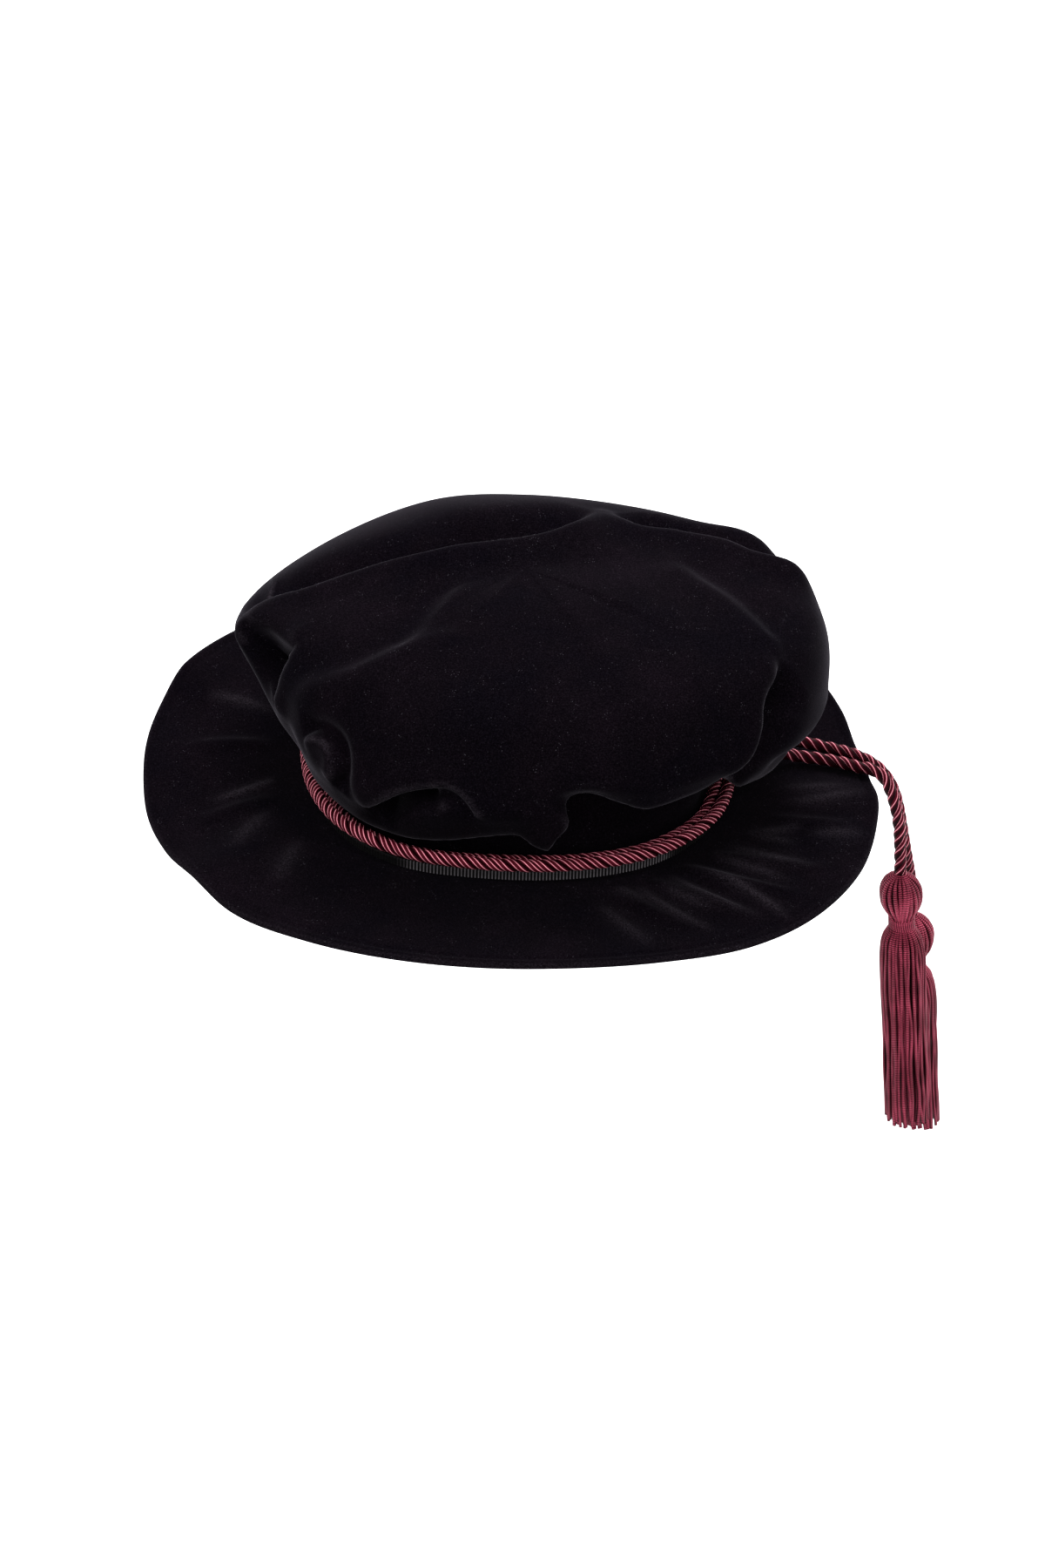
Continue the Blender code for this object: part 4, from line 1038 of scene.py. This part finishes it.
def evened(values, rounds):
    """The same grid of directions, evened out with its neighbours."""
    for _ in range(rounds):
        up = np.concatenate([values[:, 1:], values[:, -1:]], axis=1)
        down = np.concatenate([values[:, :1], values[:, :-1]], axis=1)
        values = (2 * values + np.roll(values, 1, axis=0) + np.roll(values, -1, axis=0) + up + down) / 6
    return unit(values)


top_fade = smooth_step((np.arange(TOP_ROWS)[::-1] - 8) / (TOP_ROWS - 12))


def bend_painted_highlight(grid):
    """How strongly a painted highlight is laid at each point, which it is where the cloth bends outwards.
    """
    normals = grid_normals(grid)
    bend = np.zeros(grid.shape[:2])
    for before, after in ((np.roll(grid, 1, axis=0), np.roll(grid, -1, axis=0)),
                          (np.concatenate([grid[:, :1], grid[:, :-1]], axis=1),
                           np.concatenate([grid[:, 1:], grid[:, -1:]], axis=1))):
        apart = (np.linalg.norm(after - grid, axis=2) + np.linalg.norm(grid - before, axis=2)) / 2
        bend -= ((after + before - 2 * grid) * normals).sum(axis=2) / np.maximum(apart, 0.8)**2
    bend[:, 0] = 0
    bend[:, -TOP_ROWS:] *= top_fade
    even = bend.copy()
    even[:, 1:-1] = (np.roll(bend, 1, axis=0) + np.roll(bend, -1, axis=0) + bend)[:, 1:-1] / 3
    return 0.5 * smooth_step((even - HIGHLIGHT_BEND) / 0.5)


plain = np.zeros((CROWN_AROUND, CROWN_UP, 3))
for step in range(CROWN_AROUND):
    outline = evenly(crown_section(360.0 * step / CROWN_AROUND, 200), CROWN_UP)
    a = 2 * math.pi * step / CROWN_AROUND
    plain[step] = np.stack([outline[:, 0] * math.cos(a), outline[:, 0] * math.sin(a), outline[:, 1]],
                           axis=1)
normals = grid_normals(plain).reshape(-1, 3)
cloth = plain.reshape(-1, 3)
moved = cloth.copy()
for fold in CROWN_FOLDS + [(gather_crest(*row[:3]), *row[3:]) for row in CROWN_GATHERS]:
    moved += fold_shift(cloth, normals, fold)
for middle, reach, way in CROWN_PULLS:
    pulled = np.exp(-((moved - np.array(middle, float))**2).sum(axis=1) / reach**2)
    moved += pulled[:, None] * np.array(way, float)
velvet_grid = moved.reshape(plain.shape)
velvet_grid[:, :, 2] = np.maximum(velvet_grid[:, :, 2], BRIM_THICKNESS + GAP)
velvet_grid = clear_of_cord(velvet_grid, grid_normals(velvet_grid), CROWN_WALL)
# Painted shade where the folds have sunk the cloth deepest, faded out towards the top.
moved_in = ((cloth - moved) * normals).sum(axis=1).reshape(velvet_grid.shape[:2])
sunk = smooth_step((moved_in - SUNK_DEPTH) / 12.0)
sunk[:, -TOP_ROWS:] *= top_fade
# The crown's mark: painted highlight where the cloth bends outwards, painted shade in the deepest hollows.
crown_painted_light = 0.5 + 0.5 * bend_painted_highlight(velvet_grid) - 0.5 * sunk
inside = (velvet_grid - evened(grid_normals(velvet_grid), 6) * CROWN_WALL)[:, ::3]
inside[:, 0, 2] = velvet_grid[:, 0, 2]
inside[:, 1:, 2] = np.maximum(inside[:, 1:, 2], BRIM_THICKNESS + GAP + 0.2)
outer_rows, inner_rows = CROWN_UP - 1, inside.shape[1] - 1
outer_count = CROWN_AROUND * outer_rows
inner_count = CROWN_AROUND * inner_rows
crown_top = velvet_grid[:, -1].mean(axis=0)
crown_points = np.concatenate([velvet_grid[:, :-1].reshape(-1, 3), inside[:, :-1].reshape(-1, 3),
                               [crown_top], [crown_top - (0, 0, CROWN_WALL)]])
crown_faces = grid_faces(CROWN_AROUND, outer_rows, True, False).tolist()
crown_faces += (grid_faces(CROWN_AROUND, inner_rows, True, False)[:, ::-1] + outer_count).tolist()
for i in range(CROWN_AROUND):
    j = (i + 1) % CROWN_AROUND
    top, under = outer_count + inner_count, outer_count + inner_count + 1
    crown_faces.append([i * outer_rows + outer_rows - 1, j * outer_rows + outer_rows - 1, top])
    crown_faces.append([outer_count + i * inner_rows + inner_rows - 1, under,
                        outer_count + j * inner_rows + inner_rows - 1])
    crown_faces.append([i * outer_rows, outer_count + i * inner_rows,
                        outer_count + j * inner_rows, j * outer_rows])
crown = cloth_piece("velvet_crown", crown_points, crown_faces, velvet_look, "painted_light",
                    np.concatenate([crown_painted_light[:, :-1].ravel(), np.full(inner_count + 2, 0.5)]))
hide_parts("crown")


# Floor and light. A plain pale floor below the tassels, a white surround, and soft light from large
# panels above and beside the hat, as in a studio.
FLOOR_BELOW = 0.45
floor_look = plain_look("pale_floor", (0.9, 0.9, 0.9), 0.9)[0]
floor_mesh = bpy.data.meshes.new("floor")
floor_mesh.from_pydata([(-6, -6, -FLOOR_BELOW), (6, -6, -FLOOR_BELOW), (6, 6, -FLOOR_BELOW),
                        (-6, 6, -FLOOR_BELOW)], [], [(0, 1, 2, 3)])
floor_mesh.materials.append(floor_look)
floor = placed("floor", floor_mesh)

surround = bpy.data.worlds.new("white_surround")
bpy.context.scene.world = surround
surround.use_nodes = True
surround.node_tree.nodes["Background"].inputs["Color"].default_value = (1.0, 1.0, 1.0, 1.0)
surround.node_tree.nodes["Background"].inputs["Strength"].default_value = 1.0
for name, place, power, size in (("top_panel", (0.2, 1.3, 1.9), 90, 1.4),
                                 ("side_panel", (-0.9, -1.0, 1.9), 20, 0.35),
                                 ("front_panel", (1.1, -1.6, 1.9), 12, 0.35)):
    panel = bpy.data.lights.new(name, "AREA")
    panel.energy = power
    panel.size = size
    lamp = placed(name, panel)
    lamp.location = place
    lamp.rotation_euler = (-Vector(place)).to_track_quat("-Z", "Y").to_euler()
bpy.context.scene.view_settings.view_transform = "Standard"
